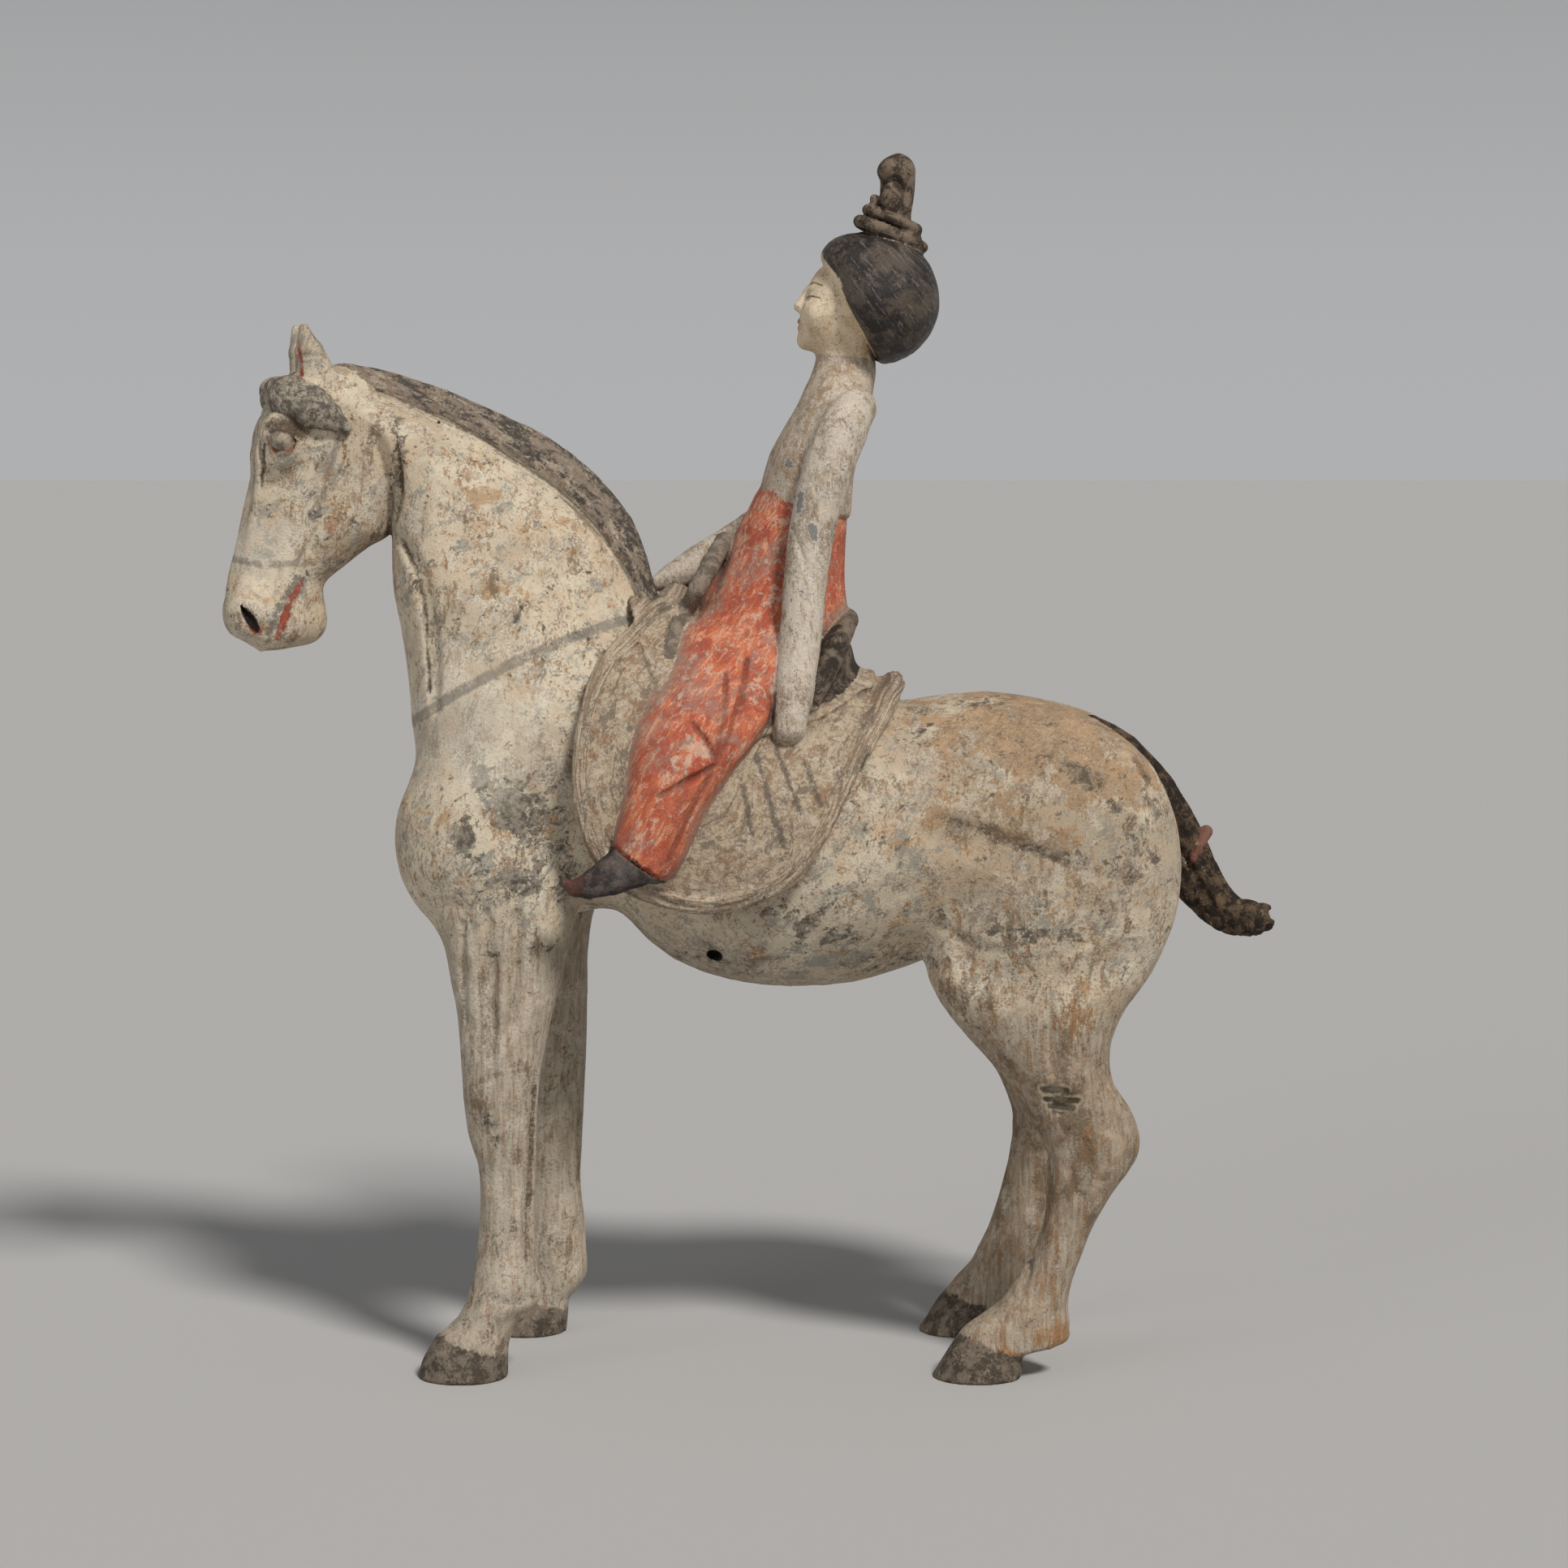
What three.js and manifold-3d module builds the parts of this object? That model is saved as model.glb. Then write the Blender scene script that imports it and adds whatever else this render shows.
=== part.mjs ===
// A terracotta tomb figure: a standing horse, and a lady who sits on her saddle on its back.
// Both pieces are sculpted as fields of distance to their surface: simple forms are joined with
// soft fillets and carved with grooves, the surface is traced on a grid, and the mesh is thinned.
// Units are millimetres. +Z is up, the horse faces -X, and its left side is towards -Y.
import * as THREE from "three";
import Module from "manifold-3d";

// Driving dimensions.
const HORSE_CELL = 2.5; // grid of the traced horse
const RIDER_CELL = 2; // grid of the traced rider
const HORSE_TRIANGLES = 7000;
const RIDER_TRIANGLES = 4200;
const SEAT_GAP = 1.2; // clearance between the rider's piece and the horse
const HEAD_YAW = 14; // degrees that the horse's head turns to its left
const HEAD_POLL = [-166, 400]; // x and z of the point behind the ears that the head turns about
const HEAD_DOWN = [-0.265, -0.964]; // x and z of the way the muzzle points
const NECK_BASE = [-87.7, 284];
const NECK_UP = [-0.536, 0.844];
const SADDLE_INSIDE = 1; // offset of the saddle cloth's underside from the barrel
const SADDLE_CLOTH = 6.5; // thickness of the saddle cloth
const RIM_WIDTH = 6.5; // raised border of the saddle cloth
const RIM_HEIGHT = 1.5;
const FACE_TILT = 10; // degrees that the rider's face looks up
const CENTRE_X = 0.4; // the form is drawn this far ahead of the middle of its length
const LEFT = -1;
const RIGHT = 1;

// The long forms are strings of oval sections. A row is one section: its place along the form's
// axis, its low and high edge across the axis, its half width, and its sideways centre.
const TRUNK = [
  [-118, 196, 262, 34],
  [-95, 184, 290, 42],
  [-75, 184, 303, 47],
  [-55, 186, 308, 51],
  [-40, 172, 303, 54],
  [-28, 164, 294, 55],
  [-10, 158, 284, 56],
  [10, 155, 278, 57],
  [30, 155, 275, 57],
  [48, 157.5, 273, 56],
  [62, 162, 272, 54],
  [78, 168, 274, 53],
  [95, 172, 275.5, 53],
  [110, 172, 274.5, 52],
  [126, 172, 270.5, 50],
  [142, 174, 262.5, 43],
  [156, 182, 250, 32],
];
const NECK = [
  [-30, -60, 48, 44],
  [0, -57, 53, 43],
  [20, -48, 55, 37],
  [40, -38.5, 53, 31.5],
  [60, -30, 47.5, 27.5],
  [78, -19, 40, 24.5],
  [95, -8, 31.5, 22],
  [112, -5, 20.5, 20],
  [126, -8, 10, 17],
];
const MANE = [
  [-10, 40, 57, 8],
  [5, 45, 60.5, 8.5],
  [17, 46, 64, 9],
  [31, 46, 66.5, 9],
  [47, 43.5, 65.8, 9],
  [63, 38.5, 61.8, 8.5],
  [79, 31, 55.5, 8],
  [94, 24, 46, 7.5],
  [111, 13, 34.8, 7],
  [124, 4, 24.7, 6.5],
  [137, -6, 13.2, 6],
  [149, -14, 1, 5],
];
const HEAD = [
  [-6, -8, 14, 13],
  [4, -19.5, 24, 18],
  [16, -28, 28, 20.5],
  [28, -33, 28.3, 21.5],
  [41, -34.8, 26.6, 21],
  [53, -34, 26.2, 19.5],
  [60, -27.5, 26, 18],
  [70, -19.8, 25.3, 16],
  [79, -13.6, 24.9, 14.5],
  [88, -15.5, 24.4, 14.5],
  [96, -16.8, 23.2, 15],
  [103, -14.5, 20.8, 14],
  [109, -7, 16.5, 12],
  [114, 0, 9, 8],
];
// The legs' rows run down from the shoulder or hip: height, front edge, back edge, half width, centre.
const LEFT_FORELEG = [
  [205, -118, -68, 24, 26],
  [186, -124.4, -71, 21, 29],
  [166, -121.2, -75, 18.5, 31],
  [146, -117.9, -80, 16.5, 33],
  [124, -116.3, -84.3, 14.5, 35],
  [101, -114, -85.6, 12.5, 36.5],
  [85, -109.8, -86.4, 11, 37],
  [65, -109.1, -87, 10.5, 38],
  [49, -110.4, -86, 11, 38],
  [36, -113.4, -84, 12.5, 38.5],
  [30, -115, -86, 12.5, 38.5],
  [24, -118.5, -93.5, 12, 38.5],
  [16, -127, -97, 13.5, 39],
  [8, -132, -98, 15.5, 39],
  [0, -134.5, -98, 16.5, 39],
  [-6, -136, -98, 17, 39],
];
const RIGHT_FORELEG = [
  [205, -118, -62, 24, 26],
  [186, -120, -65, 21, 29],
  [166, -114, -68.4, 18.5, 31],
  [146, -109, -69, 16.5, 33],
  [124, -104, -69.7, 14.5, 35],
  [101, -100.5, -70.8, 12.5, 36.5],
  [85, -97, -71.8, 11.5, 37],
  [68, -95.5, -72.4, 10.8, 38],
  [49, -95.5, -71, 11, 38],
  [36, -96.5, -70.3, 12, 38.5],
  [26, -98.5, -70, 12.5, 38.5],
  [20, -100, -72.5, 12.3, 38.5],
  [14, -104, -77.5, 13, 39],
  [7, -109, -78.3, 15.5, 39],
  [0, -112, -79, 16.5, 39],
  [-6, -113, -79, 17, 39],
];
const LEFT_HINDLEG = [
  [205, 84, 168, 27, 27],
  [185, 74, 168, 27, 28],
  [163, 72, 160.5, 25, 30],
  [148, 80, 151, 22, 32],
  [135, 91.5, 146, 19, 33.5],
  [122, 103, 146.5, 16.5, 35],
  [109, 111, 154, 14.5, 36],
  [97, 118, 157.6, 13.5, 37],
  [88, 120, 156, 13, 37],
  [78, 120, 149, 12, 37.5],
  [66, 119.8, 141, 11, 38],
  [52, 115.5, 135.3, 11, 38],
  [40, 108.5, 131, 11.5, 38],
  [30, 101, 129, 12.5, 38],
  [21, 88, 129.5, 13, 38.5],
  [14, 82.5, 128, 13, 38.5],
  [10, 80, 113, 14, 39],
  [4, 76.5, 111, 15.5, 39],
  [-6, 70, 110, 16.5, 39],
];
const RIGHT_HINDLEG = [
  [205, 80, 166, 27, 27],
  [185, 72, 168, 27, 28],
  [163, 72, 160, 25, 30],
  [148, 79, 146, 22, 32],
  [135, 89, 139, 19, 33.5],
  [122, 98, 138, 16.5, 35],
  [109, 106, 145, 14.5, 36],
  [97, 110.5, 148, 13.5, 37],
  [88, 111, 147, 13, 37],
  [78, 110, 140, 12, 37.5],
  [66, 107.6, 131, 11, 38],
  [52, 103.5, 125.5, 11, 38],
  [40, 99, 121.5, 11.5, 38],
  [30, 93.5, 119, 12.5, 38],
  [21, 86, 119, 13, 38.5],
  [14, 80, 118, 13, 38.5],
  [9, 77, 106, 14, 39],
  [4, 74, 104, 15.5, 39],
  [-6, 67, 103, 16.5, 39],
];
// The barrel as the saddle cloth lies on it.
const SADDLE_FORM = [
  [-90, 150, 312, 53],
  [-55, 150, 310, 55],
  [-40, 150, 304, 56],
  [-28, 150, 296, 57],
  [-10, 150, 287, 58],
  [10, 150, 280, 58.5],
  [30, 150, 277, 58.5],
  [62, 150, 274, 57],
  [90, 150, 274, 55],
];
// Outlines on the side of the horse, x and z.
const CLOTH_OUTLINE = [
  [-27, 345],
  [-30, 319],
  [-38, 313],
  [-46.5, 306],
  [-52.5, 297],
  [-62.5, 279],
  [-67.7, 261.6],
  [-69.7, 244],
  [-67.4, 228],
  [-61.3, 213],
  [-51.6, 201.5],
  [-36.8, 194.7],
  [-17.5, 191.5],
  [0.8, 195],
  [18, 204],
  [30, 220.4],
  [40.4, 240.7],
  [50.5, 261],
  [58, 275],
  [63.5, 286],
  [65.5, 345],
];
const SEAT_OUTLINE = [
  [-46, 345],
  [-44, 300],
  [-30, 275],
  [0, 262],
  [26, 267],
  [44, 277],
  [52, 286],
  [54, 345],
];
const BODICE = [
  [344, 2, 41, 25],
  [352, 3, 41.5, 26],
  [364, 5.5, 42.5, 28],
  [374, 9, 44.8, 30],
  [384, 14.5, 47, 30],
  [392, 19, 49, 27],
  [399, 22.5, 50.3, 21],
  [406, 25.5, 51.3, 15],
  [414, 27.5, 50.5, 12.5],
  [424, 28.5, 49, 12.5],
];
const SKIRT = [
  [362, 5.5, 40, 24.5],
  [346, -3, 39.6, 25.5],
  [332, -10, 39, 27.5],
  [318, -19, 39, 30],
  [306, -25, 40, 33],
  [294, -30, 38, 36],
  [282, -36, 30, 38],
  [268, -38, 16, 38],
];
const TROUSER_LEG = [
  [306, -24, 30, 12, 22],
  [298, -27.5, 26, 14, 29],
  [286, -34, 14, 15, 38],
  [278, -39, 10, 15.5, 46],
  [268, -43, 7.5, 15.5, 53],
  [258, -45.5, 1, 15, 58],
  [246, -47.3, -8.5, 14.5, 61],
  [233, -49.8, -17, 13, 63],
  [222, -52.4, -22, 11.5, 64],
  [212, -55, -27, 10.5, 64.5],
  [205, -53, -32, 9.5, 64.5],
];

// Rounded minimum and maximum of two distances: k is the size of the fillet.
function soften(a, b, k) {
  const h = Math.max(k - Math.abs(a - b), 0) / k;
  return (h * h * k) / 4;
}
const join = (a, b, k) => Math.min(a, b) - soften(a, b, k);
const keep = (a, b, k) => Math.max(a, b) + soften(a, b, k);

// A smooth curve through rows of numbers, sampled at even steps of their first column.
function smoothTable(rows, samples = 200) {
  const sorted = [...rows].sort((a, b) => a[0] - b[0]);
  const slopes = sorted.map((row, i) => {
    const before = sorted[Math.max(i - 1, 0)];
    const after = sorted[Math.min(i + 1, sorted.length - 1)];
    return row.map((_, c) => (after[c] - before[c]) / (after[0] - before[0]));
  });
  const low = sorted[0][0];
  const high = sorted[sorted.length - 1][0];
  const columns = sorted[0].length - 1;
  const values = new Float64Array((samples + 1) * columns);
  for (let s = 0, i = 0; s <= samples; s++) {
    const t = low + ((high - low) * s) / samples;
    while (i < sorted.length - 2 && t > sorted[i + 1][0]) i++;
    const span = sorted[i + 1][0] - sorted[i][0];
    const q = (t - sorted[i][0]) / span;
    const q2 = q * q;
    const q3 = q2 * q;
    for (let c = 0; c < columns; c++) {
      values[s * columns + c] =
        (2 * q3 - 3 * q2 + 1) * sorted[i][c + 1] +
        (q3 - 2 * q2 + q) * span * slopes[i][c + 1] +
        (3 * q2 - 2 * q3) * sorted[i + 1][c + 1] +
        (q3 - q2) * span * slopes[i + 1][c + 1];
    }
  }
  const at = (t, c) => {
    const place = THREE.MathUtils.clamp(((t - low) / (high - low)) * samples, 0, samples - 1e-9);
    const i = Math.floor(place);
    const share = place - i;
    return values[i * columns + c] * (1 - share) + values[(i + 1) * columns + c] * share;
  };
  return { low, high, at };
}

// A form of oval sections along a straight axis in the horse's middle plane. side mirrors the
// sideways centre; narrow thins the high edge; cap rounds the two ends.
function loft(rows, { origin = [0, 0], along = [1, 0], side = 1, narrow = 0, cap = 6 } = {}) {
  const table = smoothTable(rows);
  const across = along[0] > 0.99 ? [0, 1] : [Math.abs(along[1]), Math.abs(along[0])];
  if (along[0] < 0 && along[1] < 0) across[0] = -across[0];
  const sideways = rows[0].length > 4;
  const distance = (x, y, z) => {
    const dx = x - origin[0];
    const dz = z - origin[1];
    const t = dx * along[0] + dz * along[1];
    const u = dx * across[0] + dz * across[1];
    const low = table.at(t, 0);
    const high = table.at(t, 1);
    const ru = (high - low) / 2;
    const q = (u - (high + low) / 2) / ru;
    const rv = table.at(t, 2) * (1 - narrow * THREE.MathUtils.clamp(q, -1, 1));
    const w = (y - (sideways ? side * table.at(t, 3) : 0)) / rv;
    const size = Math.hypot(q, w);
    const round = size < 1e-6 ? -Math.min(ru, rv) : (size * (size - 1)) / Math.hypot(q / ru, w / rv);
    return keep(round, Math.max(table.low - t, t - table.high), cap);
  };
  const box = new THREE.Box3();
  for (let i = 0; i <= 40; i++) {
    const t = THREE.MathUtils.lerp(table.low, table.high, i / 40);
    const rv = table.at(t, 2) * (1 + narrow);
    const centre = sideways ? side * table.at(t, 3) : 0;
    for (const u of [table.at(t, 0), table.at(t, 1)]) {
      const x = origin[0] + t * along[0] + u * across[0];
      const z = origin[1] + t * along[1] + u * across[1];
      box.expandByPoint(new THREE.Vector3(x, centre - rv, z));
      box.expandByPoint(new THREE.Vector3(x, centre + rv, z));
    }
  }
  return { distance, box };
}
// The same, standing: the rows' first column is height, and their edges are x.
function upright(rows, options = {}) {
  return loft(rows, { along: [0, 1], ...options });
}

function ellipsoid([cx, cy, cz], [rx, ry, rz]) {
  const distance = (x, y, z) => {
    const a = (x - cx) / rx;
    const b = (y - cy) / ry;
    const c = (z - cz) / rz;
    const size = Math.hypot(a, b, c);
    if (size < 1e-6) return -Math.min(rx, ry, rz);
    return (size * (size - 1)) / Math.hypot(a / rx, b / ry, c / rz);
  };
  const box = new THREE.Box3(
    new THREE.Vector3(cx - rx, cy - ry, cz - rz),
    new THREE.Vector3(cx + rx, cy + ry, cz + rz),
  );
  return { distance, box };
}

// A rope through points [x, y, z, radius].
function rope(points) {
  const distance = (x, y, z) => {
    let nearest = Infinity;
    for (let i = 0; i < points.length - 1; i++) {
      const [ax, ay, az, ar] = points[i];
      const [bx, by, bz, br] = points[i + 1];
      const dx = bx - ax;
      const dy = by - ay;
      const dz = bz - az;
      const along = ((x - ax) * dx + (y - ay) * dy + (z - az) * dz) / (dx * dx + dy * dy + dz * dz);
      const h = THREE.MathUtils.clamp(along, 0, 1);
      const gap = Math.hypot(x - ax - h * dx, y - ay - h * dy, z - az - h * dz);
      nearest = Math.min(nearest, gap - ar - h * (br - ar));
    }
    return nearest;
  };
  const box = new THREE.Box3();
  for (const [x, y, z, r] of points) {
    box.expandByPoint(new THREE.Vector3(x - r, y - r, z - r));
    box.expandByPoint(new THREE.Vector3(x + r, y + r, z + r));
  }
  return { distance, box };
}
// A rope whose points are rounded into one smooth curve first.
function smoothRope(points, pieces = 16) {
  const curve = new THREE.CatmullRomCurve3(points.map(([x, y, z]) => new THREE.Vector3(x, y, z)));
  const last = points.length - 1;
  const sampled = [];
  for (let i = 0; i <= pieces; i++) {
    const place = (i / pieces) * last;
    const before = Math.min(Math.floor(place), last - 1);
    const radius = THREE.MathUtils.lerp(points[before][3], points[before + 1][3], place - before);
    sampled.push([...curve.getPoint(i / pieces).toArray(), radius]);
  }
  return rope(sampled);
}

// What lies behind a plane, within a box.
function behind([nx, ny, nz], [px, py, pz], box) {
  const n = new THREE.Vector3(nx, ny, nz).normalize();
  const distance = (x, y, z) => (x - px) * n.x + (y - py) * n.y + (z - pz) * n.z;
  return { distance, box };
}

// A shape that is evaluated in a turned frame: turned(point) gives the point in that frame.
function placed(shape, turned, box) {
  return { distance: (x, y, z) => shape.distance(...turned(x, y, z)), box };
}

// A sculpture: forms are added with a fillet or cut with a softened edge, in order.
class Sculpture {
  constructor() {
    this.steps = [];
    this.box = new THREE.Box3();
    this.distance = (x, y, z) => {
      let d = 20;
      for (const { shape, k, reach, cut, meet } of this.steps) {
        if (x < reach.min.x || x > reach.max.x || y < reach.min.y || y > reach.max.y) {
          if (meet) d = 20;
          continue;
        }
        if (z < reach.min.z || z > reach.max.z) {
          if (meet) d = 20;
          continue;
        }
        const other = shape.distance(x, y, z);
        if (cut) d = keep(d, -other, k);
        else if (meet) d = keep(d, other, k);
        else d = join(d, other, k);
      }
      return d;
    };
  }
  step(shape, k, kind) {
    const reach = shape.box.clone().expandByScalar(k + 8);
    this.steps.push({ shape, k, reach, ...kind });
    return this;
  }
  add(shape, k) {
    this.box.union(shape.box);
    return this.step(shape, k, {});
  }
  cut(shape, k) {
    return this.step(shape, k, { cut: true });
  }
  meet(shape, k) {
    return this.step(shape, k, { meet: true });
  }
  // Sideways place of the surface at x and z, met from the side given.
  surface(x, z, side) {
    let outside = side * 120;
    let inside = 0;
    for (let y = 120; y > 0; y -= 1.5) {
      if (this.distance(x, side * y, z) < 0) {
        inside = side * y;
        break;
      }
      outside = side * y;
    }
    for (let i = 0; i < 12; i++) {
      const middle = (outside + inside) / 2;
      if (this.distance(x, middle, z) < 0) inside = middle;
      else outside = middle;
    }
    return inside;
  }
  // A groove drawn on the side of the form through points [x, z, radius], sunk by a share of it.
  groove(points, side, depth, k = 1) {
    const on = points.map(([x, z, r]) => [x, this.surface(x, z, side) + side * (r - depth), z, r]);
    return this.cut(smoothRope(on), k);
  }
}

// Turns a point of the part into the horse head's frame and back: t runs down to the muzzle,
// u towards the forehead, v to the horse's right.
const yaw = THREE.MathUtils.degToRad(HEAD_YAW);
function intoHead(x, y, z) {
  const dx = x - HEAD_POLL[0];
  const turnedX = dx * Math.cos(yaw) + y * Math.sin(yaw);
  const turnedY = y * Math.cos(yaw) - dx * Math.sin(yaw);
  const dz = z - HEAD_POLL[1];
  const t = turnedX * HEAD_DOWN[0] + dz * HEAD_DOWN[1];
  const u = turnedX * HEAD_DOWN[1] - dz * HEAD_DOWN[0];
  return [t, turnedY, u];
}

function horseHead() {
  const head = new Sculpture();
  const span = { along: [1, 0], narrow: 0.22, cap: 9 };
  head.add(loft(HEAD, span), 1);
  head.add(ellipsoid([96, 0, -10], [8, 10, 7.5]), 5);
  for (const side of [LEFT, RIGHT]) {
    const mirrored = (points) => points.map(([t, u, v, r]) => [t, side * v, u, r]);
    head.add(ellipsoid([98, side * 8, 13.5], [11.5, 8.5, 9]), 5);
    head.add(ellipsoid([27, side * 12, 18.5], [15, 10, 10]), 5);
    head.add(rope(mirrored([[36, 24, 11, 2.5], [60, 21, 9, 2], [78, 19, 7, 1.2]])), 5);
    head.cut(rope(mirrored([[31, 27.5, 14.5, 1.1], [40, 24.5, 15.5, 1.3], [50, 21, 15.5, 0.8]])), 2);
    head.cut(ellipsoid([28.5, side * 22.5, 21.5], [7, 4.5, 6]), 1.5);
    head.add(ellipsoid([28.8, side * 19.2, 22], [4.9, 4.4, 4.9]), 0.6);
    head.cut(rope(mirrored([[97, 19.5, 13, 2.1], [101.5, 15.5, 15.5, 2.3], [106, 10.5, 14, 2.4]])), 1);
    head.cut(rope(mirrored([[82, 1, 14.6, 1.9], [92, 1.5, 15.4, 2.2], [101, 1.8, 15, 2.1], [109, 2, 13, 1.8]])), 1);
    const lock = [[13, 27.5, 3, 4.5], [9.5, 21.5, 11, 7.5], [9.5, 14, 14.5, 9], [13, 5, 17, 6.5], [17.5, -5, 20, 2.3]];
    head.add(rope(mirrored(lock)), 1.2);
    head.add(rope(mirrored([[1, 12, 10, 8.5], [-9, 18.5, 12, 6], [-17, 23.5, 12.5, 2.5]])), 3);
    head.cut(rope(mirrored([[1, 19, 16.5, 0.9], [-8, 23, 16.5, 1.5], [-15, 26, 14.5, 1]])), 0.8);
  }
  head.cut(rope([[-2, 0, 33, 2], [14, 0, 36, 2.4]]), 2);
  return head;
}

function buildHorse() {
  const horse = new Sculpture();
  const neckFrame = { origin: NECK_BASE, along: NECK_UP };
  horse.add(loft(TRUNK), 1);
  for (const side of [LEFT, RIGHT]) {
    horse.add(ellipsoid([-106, side * 17, 217], [38, 35, 43]), 9);
    horse.add(ellipsoid([125, side * 24, 208], [49.5, 34, 60]), 12);
  }
  horse.add(loft(NECK, { ...neckFrame, narrow: 0.32 }), 14);
  horse.add(upright(LEFT_FORELEG, { side: LEFT }), 9);
  horse.add(upright(RIGHT_FORELEG, { side: RIGHT }), 9);
  horse.add(upright(LEFT_HINDLEG, { side: LEFT }), 10);
  horse.add(upright(RIGHT_HINDLEG, { side: RIGHT }), 10);
  for (const side of [LEFT, RIGHT]) {
    horse.groove([[-141, 338, 3], [-134, 327, 4], [-130, 311, 4], [-128, 292, 4], [-127, 272, 3]], side, 1.6, 3);
    horse.groove([[84, 172, 9], [104, 163, 10], [128, 163, 10], [150, 172, 8]], side, 1.6, 6);
    horse.groove([[74, 222, 7], [98, 216, 9], [118, 210, 7]], side, 1.2, 6);
    horse.groove([[-109, 182, 4], [-107, 160, 5], [-104, 132, 3]], side, 1.4, 4);
    horse.groove([[-92, 180, 4], [-93, 160, 5], [-95, 130, 3]], side, 1.4, 4);
    horse.groove([[-94, 88, 3], [-94, 66, 3], [-94, 46, 3]], side, 1.1, 3);
    horse.groove([[132, 104, 5], [131, 88, 6], [130, 66, 4], [122, 46, 3]], side, 1.3, 4);
  }
  horse.add(loft(MANE, { ...neckFrame, narrow: 0.15, cap: 4 }), 1.6);
  const headBox = new THREE.Box3(new THREE.Vector3(-225, -50, 280), new THREE.Vector3(-120, 40, 432));
  horse.add(placed(horseHead(), intoHead, headBox), 3.5);
  const tail = [
    [140, 0, 262, 4], [154, 0, 252, 6], [167, 0, 236, 7.5], [176, 0, 220, 7.5], [184, 0, 206, 7],
    [190, 0, 193, 7.5], [197, 0, 184, 8], [206, 0, 182, 7.5], [212, 0, 182.5, 5.5],
  ];
  horse.add(smoothRope(tail), 2.5);
  horse.add(rope([[182, -7, 221, 3], [187, 0, 217, 4.2], [182, 7, 213, 3]]), 1.5);
  horse.add(rope([[178, 0, 205, 4.5], [180, 0, 194, 3], [181, 0, 186, 2]]), 2);
  horse.cut(ellipsoid([216.5, 0, 184], [3.5, 9, 3]), 1);
  horse.cut(rope([[-14, -60, 165, 2.7], [-14, -30, 172, 2.7]]), 0.8);
  return horse;
}

// Signed distance to a closed outline in x and z.
function outline2d(points) {
  const curve = new THREE.CatmullRomCurve3(
    points.map(([x, z]) => new THREE.Vector3(x, 0, z)),
    true,
    "centripetal",
  );
  const ring = curve.getPoints(points.length * 4);
  return (x, z) => {
    let best = Infinity;
    let inside = false;
    for (let i = 0; i < ring.length - 1; i++) {
      const a = ring[i];
      const b = ring[i + 1];
      const dx = b.x - a.x;
      const dz = b.z - a.z;
      const h = THREE.MathUtils.clamp(((x - a.x) * dx + (z - a.z) * dz) / (dx * dx + dz * dz), 0, 1);
      best = Math.min(best, Math.hypot(x - a.x - h * dx, z - a.z - h * dz));
      if (a.z > z !== b.z > z && x < ((b.x - a.x) * (z - a.z)) / (b.z - a.z) + a.x) inside = !inside;
    }
    return inside ? -best : best;
  };
}

// The saddle: a cloth with a raised rim that drapes over the barrel, a seat panel on it, and the
// arched boards before and behind the rider.
function buildSaddle() {
  const form = loft(SADDLE_FORM);
  const clothEdge = outline2d(CLOTH_OUTLINE);
  const seatEdge = outline2d(SEAT_OUTLINE);
  const layer = (inner, outer, edge, rim) => (x, y, z) => {
    const out = edge(x, z);
    if (out > 12) return out;
    const height = form.distance(x, y, z);
    const raise = rim ? RIM_HEIGHT * THREE.MathUtils.smoothstep(out, -RIM_WIDTH - 1, -RIM_WIDTH + 1) : 0;
    const middle = (inner + outer + raise) / 2;
    return keep(Math.abs(height - middle) - (outer + raise - inner) / 2, out, 2.5);
  };
  const box = new THREE.Box3(new THREE.Vector3(-75, -70, 186), new THREE.Vector3(68, 70, 322));
  const saddle = new Sculpture();
  const clothTop = SADDLE_INSIDE + SADDLE_CLOTH;
  saddle.add({ distance: layer(SADDLE_INSIDE, clothTop, clothEdge, true), box }, 1);
  saddle.add({ distance: layer(SADDLE_INSIDE, clothTop + 2.5, seatEdge, false), box }, 1.5);
  saddle.add(ellipsoid([-30, 0, 303], [11, 27, 17]), 3);
  const front = [[-10, 0, 337, 4.2], [-13.5, 13, 332, 4.4], [-20, 25, 320, 4.4], [-28, 34, 304, 4.2]];
  const frontEnd = [[-36, 41, 289, 4], [-42, 47, 273, 3]];
  const back = [[39.5, 0, 305, 4.4], [38.5, 15, 302.5, 4.4], [35, 27, 296, 4.6], [30, 37, 285, 4.6], [25, 44, 274, 3.5]];
  for (const side of [LEFT, RIGHT]) {
    const mirrored = (points) => points.map(([x, y, z, r]) => [x, side * y, z, r]);
    saddle.add(smoothRope(mirrored([...front, ...frontEnd])), 1.5);
    saddle.add(smoothRope(mirrored(back)), 2);
  }
  saddle.add(ellipsoid([31, 0, 287], [12, 33, 16]), 5);
  return saddle;
}

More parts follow.
